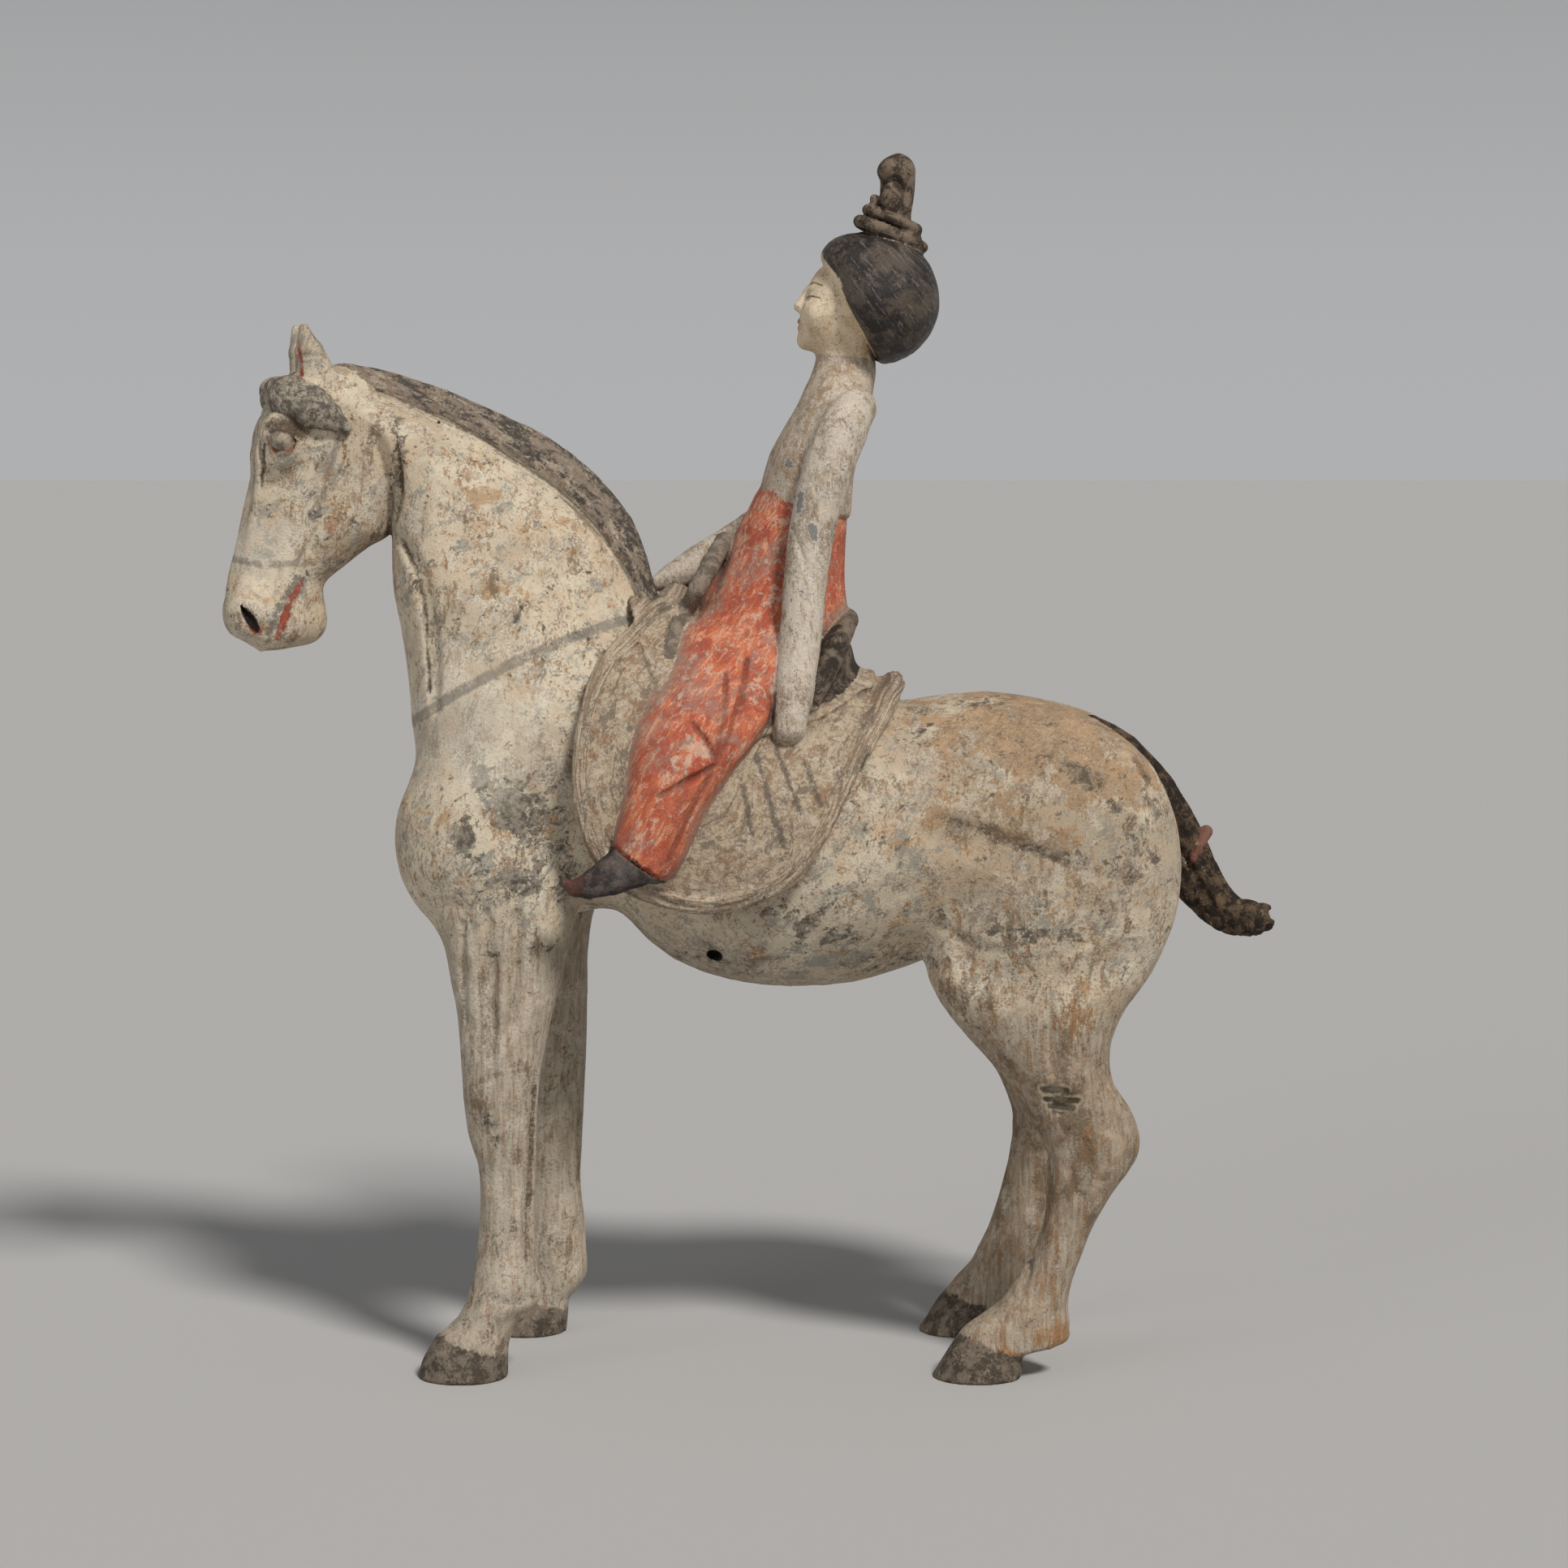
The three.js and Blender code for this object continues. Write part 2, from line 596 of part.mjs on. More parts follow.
// The rider's head is modelled upright about its own centre and then tilted back.
const HEAD_CENTRE = [40, 432];
const tilt = THREE.MathUtils.degToRad(FACE_TILT);
function intoRiderHead(x, y, z) {
  const dx = x - HEAD_CENTRE[0];
  const dz = z - HEAD_CENTRE[1];
  return [dx * Math.cos(tilt) - dz * Math.sin(tilt), y, dx * Math.sin(tilt) + dz * Math.cos(tilt)];
}
function riderFace() {
  const face = new Sculpture();
  face.add(ellipsoid([1, 0, 1], [19, 17, 19.5]), 1);
  face.add(ellipsoid([-6, 0, -10], [11.5, 12.5, 10.5]), 7);
  face.add(ellipsoid([-14.5, 0, -16.5], [3.4, 4.6, 3.4]), 4);
  face.add(rope([[-17.4, 0, 4, 1], [-19.8, 0, -3.4, 1.9]]), 2.5);
  for (const side of [LEFT, RIGHT]) {
    face.add(ellipsoid([-18.2, side * 1.9, -4.2], [1.9, 1.6, 1.4]), 1.2);
    face.add(ellipsoid([-11.5, side * 8, -5], [5, 5, 4.5]), 5);
    face.cut(rope([[-17.6, side * 3.4, 1.4, 1.4], [-15.5, side * 9.5, 1.6, 1.2]]), 1.6);
    face.add(ellipsoid([-14.4, side * 6.3, 1.3], [2.4, 3.4, 1.6]), 0.6);
  }
  face.add(rope([[-17.2, -2.6, -9.4, 0.8], [-18, 0, -9.1, 1.3], [-17.2, 2.6, -9.4, 0.8]]), 0.8);
  face.add(rope([[-16.8, -2, -11.6, 0.9], [-17.3, 0, -11.8, 1.4], [-16.8, 2, -11.6, 0.9]]), 0.8);
  return face;
}

// The hair: a full cap that leaves the face free, with the coils and loop of the topknot.
function riderHair() {
  const hair = new Sculpture();
  const hairBox = new THREE.Box3(new THREE.Vector3(20, -34, 400), new THREE.Vector3(84, 34, 465));
  hair.add(ellipsoid([53, 0, 435], [24, 28.5, 26]), 1);
  hair.add(ellipsoid([41, 0, 450], [12.5, 21, 11]), 7);
  hair.meet(behind([-0.87, 0, -0.5], [39.5, 0, 432], hairBox), 2.5);
  return hair;
}
function topknot() {
  const knot = new Sculpture();
  const coil = (cx, cz, rx, ry, r) => {
    const ring = [];
    for (let i = 0; i <= 24; i++) {
      const a = (i / 24) * Math.PI * 2;
      ring.push([cx + rx * Math.cos(a), ry * Math.sin(a), cz - 0.34 * rx * Math.cos(a), r]);
    }
    return rope(ring);
  };
  knot.add(ellipsoid([57, 0, 460], [13, 12, 6]), 1);
  knot.add(coil(57, 459.5, 11.5, 10.5, 3.3), 1);
  knot.add(coil(56.8, 464.5, 9.5, 8.5, 3), 1);
  knot.add(smoothRope([[57.5, 0, 460, 8.5], [59, 0, 470, 7.4], [60.3, 0, 479, 7.6], [61.5, 0, 486.2, 7.8]]), 1.5);
  knot.add(rope([[50.5, 0, 466, 2.6], [50.2, 0, 474, 1.9]]), 1);
  for (const side of [LEFT, RIGHT]) {
    const arch = [[54.5, 5, 468, 1], [55, 8.2, 477, 1.3], [60, 9, 482.5, 1.3], [64.5, 8.2, 477, 1.3], [64, 6, 466, 1]];
    knot.cut(smoothRope(arch.map(([x, y, z, r]) => [x, side * y, z, r])), 1);
  }
  return knot;
}

function buildRider(horse) {
  const rider = new Sculpture();
  rider.add(buildSaddle(), 1);
  rider.add(upright(SKIRT), 2);
  for (const side of [LEFT, RIGHT]) {
    rider.add(upright(TROUSER_LEG, { side }), 5);
    const boot = [[-40, 63, 209.5, 8.3], [-51, 65, 207, 8.4], [-60, 66.5, 204.2, 6.3], [-70.5, 68, 203.6, 1.9]];
    rider.add(rope(boot.map(([x, y, z, r]) => [x, side * y, z, r])), 1);
    for (const fold of [
      [[-12, 253, 0.8], [-17, 261.5, 1.8], [-21, 267, 0.8]],
      [[-11.5, 255, 0.8], [-9.5, 272, 2], [-9, 284, 0.8]],
      [[-10.5, 255, 0.8], [-3, 275, 2], [-1, 290, 0.8]],
      [[-12, 251.5, 0.8], [-22, 246, 2], [-33, 240, 0.8]],
      [[-14, 249, 0.8], [-24, 231, 1.8], [-31, 215, 0.8]],
    ]) {
      rider.groove(fold, side, 1.2, 1.6);
    }
  }
  const torsoBox = new THREE.Box3(new THREE.Vector3(-10, -40, 335), new THREE.Vector3(60, 40, 440));
  const bodice = new Sculpture();
  bodice.add(upright(BODICE), 1);
  bodice.meet(behind([-0.26, 0, -0.96], [3.7, 0, 356.5], torsoBox), 1);
  rider.add(bodice, 0.8);
  const leftArm = [
    [43, -23, 391, 8], [37, -28, 382, 10.5], [30, -33, 362, 10], [24, -35.5, 335, 9],
    [20.5, -41, 300, 8.5], [17.8, -48, 278, 7.8], [16.2, -51.5, 265, 6.6],
  ];
  const rightArm = [
    [43, 23, 391, 8], [37, 29, 382, 10.5], [26, 34, 364, 10], [12, 34, 348, 9],
    [-6, 31, 336, 8], [-20, 26.5, 328.5, 7.5], [-31, 22, 322.5, 5.8], [-38, 18.5, 319.5, 3.6],
  ];
  rider.add(smoothRope(leftArm, 24), 2);
  rider.add(smoothRope(rightArm, 24), 2);
  const faceBox = new THREE.Box3(new THREE.Vector3(12, -24, 404), new THREE.Vector3(66, 24, 456));
  rider.add(placed(riderFace(), intoRiderHead, faceBox), 3);
  rider.add(riderHair(), 0.8);
  rider.add(topknot(), 1.2);
  const offset = { distance: (x, y, z) => horse.distance(x, y, z) - SEAT_GAP, box: horse.box };
  rider.cut(offset, 0.4);
  return rider;
}

// Traces the surface of a sculpture. Blocks of the grid that lie clear of the surface are filled at
// once, and each cube of the rest is split into six tetrahedra, so that the mesh is always closed.
function trace(sculpture, cell) {
  const box = sculpture.box.clone().expandByScalar(2 * cell);
  const counts = box.getSize(new THREE.Vector3()).divideScalar(cell).ceil().addScalar(1);
  const [nx, ny, nz] = counts.toArray();
  const field = new Float32Array(nx * ny * nz);
  const place = (i, j, k) => [box.min.x + i * cell, box.min.y + j * cell, box.min.z + k * cell];
  const block = 4;
  const clear = block * cell * 1.5;
  const starts = (count) => Array.from({ length: Math.ceil(count / block) }, (_, n) => n * block);
  for (const k0 of starts(nz)) {
    for (const j0 of starts(ny)) {
      for (const i0 of starts(nx)) {
        const half = (block - 1) / 2;
        const middle = sculpture.distance(...place(i0 + half, j0 + half, k0 + half));
        for (let k = k0; k < Math.min(k0 + block, nz); k++) {
          for (let j = j0; j < Math.min(j0 + block, ny); j++) {
            for (let i = i0; i < Math.min(i0 + block, nx); i++) {
              const far = Math.abs(middle) > clear;
              const d = far ? middle : sculpture.distance(...place(i, j, k));
              field[i + nx * (j + ny * k)] = Math.abs(d) < 1e-4 ? 1e-4 : d;
            }
          }
        }
      }
    }
  }
  const positions = [];
  const triangles = [];
  const known = new Map();
  const corner = (n) => place(n % nx, Math.floor(n / nx) % ny, Math.floor(n / (nx * ny)));
  const crossing = (a, b) => {
    const key = Math.min(a, b) * field.length + Math.max(a, b);
    if (!known.has(key)) {
      const share = field[a] / (field[a] - field[b]);
      const from = corner(a);
      const to = corner(b);
      known.set(key, positions.length / 3);
      for (let c = 0; c < 3; c++) positions.push(from[c] + (to[c] - from[c]) * share);
    }
    return known.get(key);
  };
  const steps = [1, nx, nx * ny];
  const orders = [[0, 1, 2], [1, 2, 0], [2, 0, 1], [1, 0, 2], [0, 2, 1], [2, 1, 0]];
  const tetrahedron = (corners, even) => {
    const inside = corners.filter((n) => field[n] < 0);
    const outside = corners.filter((n) => field[n] >= 0);
    if (inside.length === 0 || outside.length === 0) return;
    const order = [...inside, ...outside].map((n) => corners.indexOf(n));
    let swaps = 0;
    for (let a = 0; a < 4; a++) for (let b = a + 1; b < 4; b++) if (order[a] > order[b]) swaps++;
    const flip = (swaps % 2 === 0) !== even;
    const face = (a, b, c) => triangles.push(...(flip ? [a, c, b] : [a, b, c]));
    if (inside.length === 1) {
      face(...outside.map((n) => crossing(inside[0], n)));
    } else if (inside.length === 3) {
      face(...inside.map((n) => crossing(outside[0], n)));
    } else {
      const [a, b] = inside;
      const [c, d] = outside;
      face(crossing(a, c), crossing(a, d), crossing(b, c));
      face(crossing(b, c), crossing(a, d), crossing(b, d));
    }
  };
  for (let k = 0; k < nz - 1; k++) {
    for (let j = 0; j < ny - 1; j++) {
      for (let i = 0; i < nx - 1; i++) {
        const start = i + nx * (j + ny * k);
        let below = 0;
        for (let c = 0; c < 8; c++) {
          if (field[start + (c & 1) + (c & 2 ? nx : 0) + (c & 4 ? nx * ny : 0)] < 0) below++;
        }
        if (below === 0 || below === 8) continue;
        orders.forEach(([a, b, c], n) => {
          const first = start + steps[a];
          const second = first + steps[b];
          tetrahedron([start, first, second, second + steps[c]], n < 3);
        });
      }
    }
  }
  return { positions, triangles };
}

// Thins a closed mesh to about the count of triangles asked for: the edge whose removal moves the
// surface least goes first, and no edge goes that would fold the surface or join it to itself.
function thin({ positions, triangles }, wanted) {
  const count = positions.length / 3;
  const point = (v) => new THREE.Vector3().fromArray(positions, v * 3);
  const quadrics = new Float64Array(count * 10);
  const facesOf = Array.from({ length: count }, () => new Set());
  const a = new THREE.Vector3();
  const b = new THREE.Vector3();
  const normalOf = (p, q, r) => a.subVectors(q, p).cross(b.subVectors(r, p));
  for (let f = 0; f < triangles.length; f += 3) {
    const [p, q, r] = [0, 1, 2].map((c) => point(triangles[f + c]));
    const normal = normalOf(p, q, r).clone();
    const area = normal.length() / 2;
    normal.normalize();
    const offset = -normal.dot(p);
    const plane = [normal.x, normal.y, normal.z, offset];
    for (let c = 0; c < 3; c++) {
      const v = triangles[f + c];
      facesOf[v].add(f);
      for (let m = 0, n = 0; m < 4; m++) {
        for (let l = m; l < 4; l++, n++) quadrics[v * 10 + n] += area * plane[m] * plane[l];
      }
    }
  }
  const errorAt = (q, x, y, z) =>
    q[0] * x * x + 2 * q[1] * x * y + 2 * q[2] * x * z + 2 * q[3] * x + q[4] * y * y +
    2 * q[5] * y * z + 2 * q[6] * y + q[7] * z * z + 2 * q[8] * z + q[9];
  const matrix = new THREE.Matrix3();
  const solve = (v, w) => {
    const q = new Float64Array(10);
    for (let n = 0; n < 10; n++) q[n] = quadrics[v * 10 + n] + quadrics[w * 10 + n];
    const from = point(v);
    const to = point(w);
    const middle = from.clone().lerp(to, 0.5);
    const choices = [from, to, middle];
    matrix.set(q[0], q[1], q[2], q[1], q[4], q[5], q[2], q[5], q[7]);
    if (Math.abs(matrix.determinant()) > 1e-6) {
      const best = new THREE.Vector3(-q[3], -q[6], -q[8]).applyMatrix3(matrix.invert());
      if (best.distanceTo(middle) < 1.5 * from.distanceTo(to)) choices.push(best);
    }
    const costs = choices.map((p) => errorAt(q, p.x, p.y, p.z));
    const least = costs.indexOf(Math.min(...costs));
    return { cost: costs[least] + 1e-6 * from.distanceToSquared(to), place: choices[least] };
  };
  const heap = [];
  const swap = (i, j) => ([heap[i], heap[j]] = [heap[j], heap[i]]);
  const push = (item) => {
    heap.push(item);
    for (let i = heap.length - 1; i > 0; ) {
      const parent = (i - 1) >> 1;
      if (heap[parent].cost <= heap[i].cost) break;
      swap(i, parent);
      i = parent;
    }
  };
  const pop = () => {
    swap(0, heap.length - 1);
    const top = heap.pop();
    for (let i = 0; ; ) {
      const left = 2 * i + 1;
      if (left >= heap.length) break;
      const small = left + 1 < heap.length && heap[left + 1].cost < heap[left].cost ? left + 1 : left;
      if (heap[i].cost <= heap[small].cost) break;
      swap(i, small);
      i = small;
    }
    return top;
  };
  const stamps = new Uint32Array(count);
  const neighbours = (v) => {
    const found = new Set();
    for (const f of facesOf[v]) for (let c = 0; c < 3; c++) found.add(triangles[f + c]);
    found.delete(v);
    return found;
  };
  const offer = (v, w) => push({ v, w, stamp: stamps[v] + stamps[w], ...solve(v, w) });
  for (let v = 0; v < count; v++) for (const w of neighbours(v)) if (v < w) offer(v, w);
  const folds = (v, w, place) => {
    for (const f of facesOf[v]) {
      const corners = [0, 1, 2].map((c) => triangles[f + c]);
      if (corners.includes(w)) continue;
      const before = normalOf(...corners.map(point)).clone();
      const after = normalOf(...corners.map((c) => (c === v ? place : point(c))));
      if (after.dot(before) < 0.3 * after.length() * before.length() || after.length() < 1e-3) return true;
    }
    return false;
  };
  let left = triangles.length / 3;
  while (left > wanted && heap.length) {
    const { v, w, stamp, place } = pop();
    if (!facesOf[v].size || !facesOf[w].size || stamp !== stamps[v] + stamps[w]) continue;
    const around = neighbours(w);
    const shared = [...neighbours(v)].filter((n) => around.has(n));
    if (shared.length !== 2 || folds(v, w, place) || folds(w, v, place)) continue;
    for (const f of facesOf[w]) {
      const corners = [0, 1, 2].map((c) => triangles[f + c]);
      if (corners.includes(v)) {
        for (const c of corners) if (c !== w) facesOf[c].delete(f);
        left--;
      } else {
        triangles[f + corners.indexOf(w)] = v;
        facesOf[v].add(f);
      }
    }
    facesOf[w].clear();
    place.toArray(positions, v * 3);
    for (let n = 0; n < 10; n++) quadrics[v * 10 + n] += quadrics[w * 10 + n];
    stamps[v] += 1;
    stamps[w] += 1;
    for (const n of neighbours(v)) offer(v, n);
  }
  const kept = new Set();
  facesOf.forEach((faces) => faces.forEach((f) => kept.add(f)));
  const index = [...kept].flatMap((f) => [triangles[f], triangles[f + 1], triangles[f + 2]]);
  const used = [...new Set(index)];
  const renamed = new Map(used.map((v, n) => [v, n]));
  return {
    positions: used.flatMap((v) => [positions[v * 3], positions[v * 3 + 1], positions[v * 3 + 2]]),
    triangles: index.map((v) => renamed.get(v)),
  };
}

const wasm = await Module();
wasm.setup();

function solidOf({ positions, triangles }) {
  return new wasm.Manifold(
    new wasm.Mesh({
      numProp: 3,
      vertProperties: new Float32Array(positions),
      triVerts: new Uint32Array(triangles),
    }),
  );
}

// Cuts off what reaches below the standing plane, so that the four soles are flat.
function standOnGround(solid) {
  const size = 600;
  const ground = new THREE.BoxGeometry(size, size, size).translate(0, 0, -size / 2);
  const corners = [];
  const index = [];
  const seen = new Map();
  for (const n of ground.index.array) {
    const p = new THREE.Vector3().fromBufferAttribute(ground.attributes.position, n);
    const key = p.toArray().join();
    if (!seen.has(key)) {
      seen.set(key, corners.length / 3);
      corners.push(...p.toArray());
    }
    index.push(seen.get(key));
  }
  return solid.subtract(solidOf({ positions: corners, triangles: index }));
}

function meshOf(name, solid, material) {
  const { vertProperties, triVerts } = solid.translate([-CENTRE_X, 0, 0]).getMesh();
  const geometry = new THREE.BufferGeometry();
  geometry.setAttribute("position", new THREE.BufferAttribute(vertProperties, 3));
  geometry.setIndex(new THREE.BufferAttribute(triVerts, 1));
  geometry.computeVertexNormals();
  const mesh = new THREE.Mesh(geometry, material);
  mesh.name = name;
  return mesh;
}

// The largest closed body of a solid: a stray crumb of the traced surface is dropped.
function mainBody(solid) {
  return solid.decompose().reduce((a, b) => (b.volume() > a.volume() ? b : a));
}

const slip = new THREE.MeshStandardMaterial({ color: 0xcdbf9f, roughness: 0.9, metalness: 0 });
const red = new THREE.MeshStandardMaterial({ color: 0xb5573c, roughness: 0.9, metalness: 0 });

const horseField = buildHorse();
const riderField = buildRider(horseField);
const horse = mainBody(standOnGround(solidOf(thin(trace(horseField, HORSE_CELL), HORSE_TRIANGLES))));
const rider = mainBody(solidOf(thin(trace(riderField, RIDER_CELL), RIDER_TRIANGLES)));

const figure = new THREE.Group();
figure.add(meshOf("horse", horse, slip), meshOf("rider_and_saddle", rider, red));

export default figure;
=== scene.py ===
"""Looks of the painted terracotta horse with its rider.

The two CAD solids are sculpted again as the same fields of distance, on a finer grid, with the small
relief that faceted solids leave out, and are painted with procedural materials. Lengths of the sculpture
are millimetres. The horse faces -X and its left side is towards -Y.
"""

import itertools
import math

import bpy
import numpy as np
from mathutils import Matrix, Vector


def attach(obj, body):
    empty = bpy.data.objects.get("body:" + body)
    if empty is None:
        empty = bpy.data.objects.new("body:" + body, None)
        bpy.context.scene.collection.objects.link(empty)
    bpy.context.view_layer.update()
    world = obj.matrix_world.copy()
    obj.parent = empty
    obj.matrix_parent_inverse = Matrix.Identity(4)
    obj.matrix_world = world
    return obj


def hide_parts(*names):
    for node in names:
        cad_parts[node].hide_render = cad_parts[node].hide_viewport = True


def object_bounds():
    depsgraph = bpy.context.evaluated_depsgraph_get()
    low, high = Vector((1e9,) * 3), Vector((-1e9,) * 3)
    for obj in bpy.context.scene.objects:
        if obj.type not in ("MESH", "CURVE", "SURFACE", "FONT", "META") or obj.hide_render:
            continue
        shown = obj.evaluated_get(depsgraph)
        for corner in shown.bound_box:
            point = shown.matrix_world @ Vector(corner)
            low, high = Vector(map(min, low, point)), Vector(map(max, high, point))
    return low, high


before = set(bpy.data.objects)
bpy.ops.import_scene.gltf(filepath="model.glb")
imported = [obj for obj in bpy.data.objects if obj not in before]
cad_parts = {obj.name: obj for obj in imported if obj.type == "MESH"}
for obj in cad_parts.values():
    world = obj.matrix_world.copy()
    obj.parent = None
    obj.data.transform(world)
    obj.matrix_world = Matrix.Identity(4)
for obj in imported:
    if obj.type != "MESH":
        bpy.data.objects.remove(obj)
cad_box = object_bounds()

# Fineness of the meshes
HORSE_CELL = 1.3
RIDER_CELL = 1.05
MOST_TRIANGLES = 190000

# Driving dimensions, as in the CAD
SEAT_GAP = 1.2
HEAD_YAW = math.radians(14)
HEAD_POLL = (-166, 400)
HEAD_DOWN = (-0.265, -0.964)
NECK_BASE = (-87.7, 284)
NECK_UP = (-0.536, 0.844)
SADDLE_INSIDE = 1
SADDLE_CLOTH = 6.5
RIM_WIDTH = 6.5
RIM_HEIGHT = 1.5
FACE_TILT = math.radians(10)
FACE_CENTRE = (40, 432)
CENTRE_X = 0.4
SIDES = (-1, 1)
MILLIMETRE = 0.001

# What stands for any greater distance, and how far past its box a form still counts
FAR = 20.0
BOX_MARGIN = 8

# The search for the surface from one side
SEARCH_FROM = 120
SEARCH_STEP = 1.5
HALVINGS = 12

# The grid that holds the distance to an outline of the saddle
OUTLINE_STEP = 0.75
OUTLINE_MARGIN = 30

# The grid that the surface is traced on: its first blocks of cells, half the diagonal of a cell, the
# steepest that a field grows, and the base of the number that stands for a cell
COARSE_BLOCK = 8
HALF_DIAGONAL = 0.87
STEEPEST = 1.45
KEY_BASE = 2048
CORNERS = np.array([(i & 1, (i >> 1) & 1, (i >> 2) & 1) for i in range(8)])
AXES = np.eye(3, dtype=int)
CAVITY_REACHES = (1.5, 3.5)

# The lattice of random values behind the relief
LATTICE = 32
LATTICE_SHIFT = 100.37
LAYER_SHIFT = 17.3
LAYER_WEIGHT = 0.55

# Height of the pale fringe along the mane's lower edge, and of the furrow above it
FRINGE_TOP = 7.5
FRINGE_LINE = 7.6

# Sections of the long forms: place along the axis, low edge, high edge, half width, sideways centre.
TRUNK = [
    (-118, 196, 262, 34), (-95, 184, 290, 42), (-75, 184, 303, 47), (-55, 186, 308, 51),
    (-40, 172, 303, 54), (-28, 164, 294, 55), (-10, 158, 284, 56), (10, 155, 278, 57),
    (30, 155, 275, 57), (48, 157.5, 273, 56), (62, 162, 272, 54), (78, 168, 274, 53),
    (95, 172, 275.5, 53), (110, 172, 274.5, 52), (126, 172, 270.5, 50), (142, 174, 262.5, 43),
    (156, 182, 250, 32),
]
NECK = [
    (-30, -60, 48, 44), (0, -57, 53, 43), (20, -48, 55, 37), (40, -38.5, 53, 31.5),
    (60, -30, 47.5, 27.5), (78, -19, 40, 24.5), (95, -8, 31.5, 22), (112, -5, 20.5, 20),
    (126, -8, 10, 17),
]
MANE = [
    (-10, 40, 57, 8), (5, 45, 60.5, 8.5), (17, 46, 64, 9), (31, 46, 66.5, 9), (47, 43.5, 65.8, 9),
    (63, 38.5, 61.8, 8.5), (79, 31, 55.5, 8), (94, 24, 46, 7.5), (111, 13, 34.8, 7),
    (124, 4, 24.7, 6.5), (137, -6, 13.2, 6), (149, -14, 1, 5),
]
HEAD = [
    (-6, -8, 14, 13), (4, -19.5, 24, 18), (16, -28, 28, 20.5), (28, -33, 28.3, 21.5),
    (41, -34.8, 26.6, 21), (53, -34, 26.2, 19.5), (60, -27.5, 26, 18), (70, -19.8, 25.3, 16),
    (79, -13.6, 24.9, 14.5), (88, -15.5, 24.4, 14.5), (96, -16.8, 23.2, 15),
    (102.5, -14.5, 20.8, 14), (108, -7, 16.5, 12), (112.6, 0, 9, 8),
]
LEFT_FORELEG = [
    (205, -118, -68, 24, 26), (186, -124.4, -71, 21, 29), (166, -121.2, -75, 18.5, 31),
    (146, -117.9, -80, 16.5, 33), (124, -116.3, -84.3, 14.5, 35), (101, -114, -85.6, 12.5, 36.5),
    (85, -109.8, -86.4, 11, 37), (65, -109.1, -87, 10.5, 38), (49, -110.4, -86, 11, 38),
    (36, -113.4, -84, 12.5, 38.5), (30, -115, -86, 12.5, 38.5), (24, -118.5, -93.5, 12, 38.5),
    (16, -127, -97, 13.5, 39), (8, -132, -98, 15.5, 39), (0, -134.5, -98, 16.5, 39),
    (-6, -136, -98, 17, 39),
]
RIGHT_FORELEG = [
    (205, -118, -62, 24, 26), (186, -120, -65, 21, 29), (166, -114, -68.4, 18.5, 31),
    (146, -109, -69, 16.5, 33), (124, -104, -69.7, 14.5, 35), (101, -100.5, -70.8, 12.5, 36.5),
    (85, -97, -71.8, 11.5, 37), (68, -95.5, -72.4, 10.8, 38), (49, -95.5, -71, 11, 38),
    (36, -96.5, -70.3, 12, 38.5), (26, -98.5, -70, 12.5, 38.5), (20, -100, -72.5, 12.3, 38.5),
    (14, -104, -77.5, 13, 39), (7, -109, -78.3, 15.5, 39), (0, -112, -79, 16.5, 39),
    (-6, -113, -79, 17, 39),
]
LEFT_HINDLEG = [
    (205, 84, 168, 27, 27), (185, 74, 168, 27, 28), (163, 72, 160.5, 25, 30), (148, 80, 151, 22, 32),
    (135, 91.5, 146, 19, 33.5), (122, 103, 146.5, 16.5, 35), (109, 111, 154, 14.5, 36),
    (97, 118, 157.6, 13.5, 37), (88, 120, 156, 13, 37), (78, 120, 149, 12, 37.5),
    (66, 119.8, 141, 11, 38), (52, 115.5, 135.3, 11, 38), (40, 108.5, 131, 11.5, 38),
    (30, 101, 129, 12.5, 38), (21, 88, 129.5, 13, 38.5), (14, 82.5, 128, 13, 38.5),
    (10, 80, 113, 14, 39), (4, 76.5, 111, 15.5, 39), (-6, 70, 110, 16.5, 39),
]
RIGHT_HINDLEG = [
    (205, 80, 166, 27, 27), (185, 72, 168, 27, 28), (163, 72, 160, 25, 30), (148, 79, 146, 22, 32),
    (135, 89, 139, 19, 33.5), (122, 98, 138, 16.5, 35), (109, 106, 145, 14.5, 36),
    (97, 110.5, 148, 13.5, 37), (88, 111, 147, 13, 37), (78, 110, 141.5, 12, 37.5),
    (66, 107.6, 134.5, 11, 38), (52, 103.5, 129.5, 11, 38), (40, 99, 124.5, 11.5, 38),
    (30, 93.5, 119, 12.5, 38), (21, 86, 119, 13, 38.5), (14, 80, 118, 13, 38.5),
    (9, 77, 106, 14, 39), (4, 74, 104, 15.5, 39), (-6, 67, 103, 16.5, 39),
]
SADDLE_FORM = [
    (-90, 150, 312, 53), (-55, 150, 310, 55), (-40, 150, 304, 56), (-28, 150, 296, 57),
    (-10, 150, 287, 58), (10, 150, 280, 58.5), (30, 150, 277, 58.5), (62, 150, 274, 57),
    (90, 150, 274, 55),
]
CLOTH_OUTLINE = [
    (-27, 345), (-30, 320), (-40, 311.5), (-49.5, 302), (-58, 293.5), (-65, 279.5), (-68.6, 262),
    (-69.7, 244), (-67.4, 228), (-61.3, 213), (-51.6, 201.5), (-36.8, 194.7), (-17.5, 191.5),
    (0.8, 195), (18, 204), (30, 220.4), (40.4, 240.7), (50.5, 261), (58, 275), (63.5, 286), (65.5, 345),
]
SEAT_OUTLINE = [
    (-46, 345), (-44, 300), (-30, 275), (0, 262), (26, 267), (44, 277), (52, 286), (54, 345),
]
BODICE = [
    (344, 2, 41, 25), (352, 3, 41.5, 26), (364, 5.5, 42.5, 28), (374, 9, 44.8, 30), (384, 14.5, 47, 30),
    (392, 19, 49, 27), (399, 22.5, 50.3, 21), (406, 25.5, 51.3, 15), (414, 27.5, 50.5, 12.5),
    (424, 28.5, 49, 12.5),
]
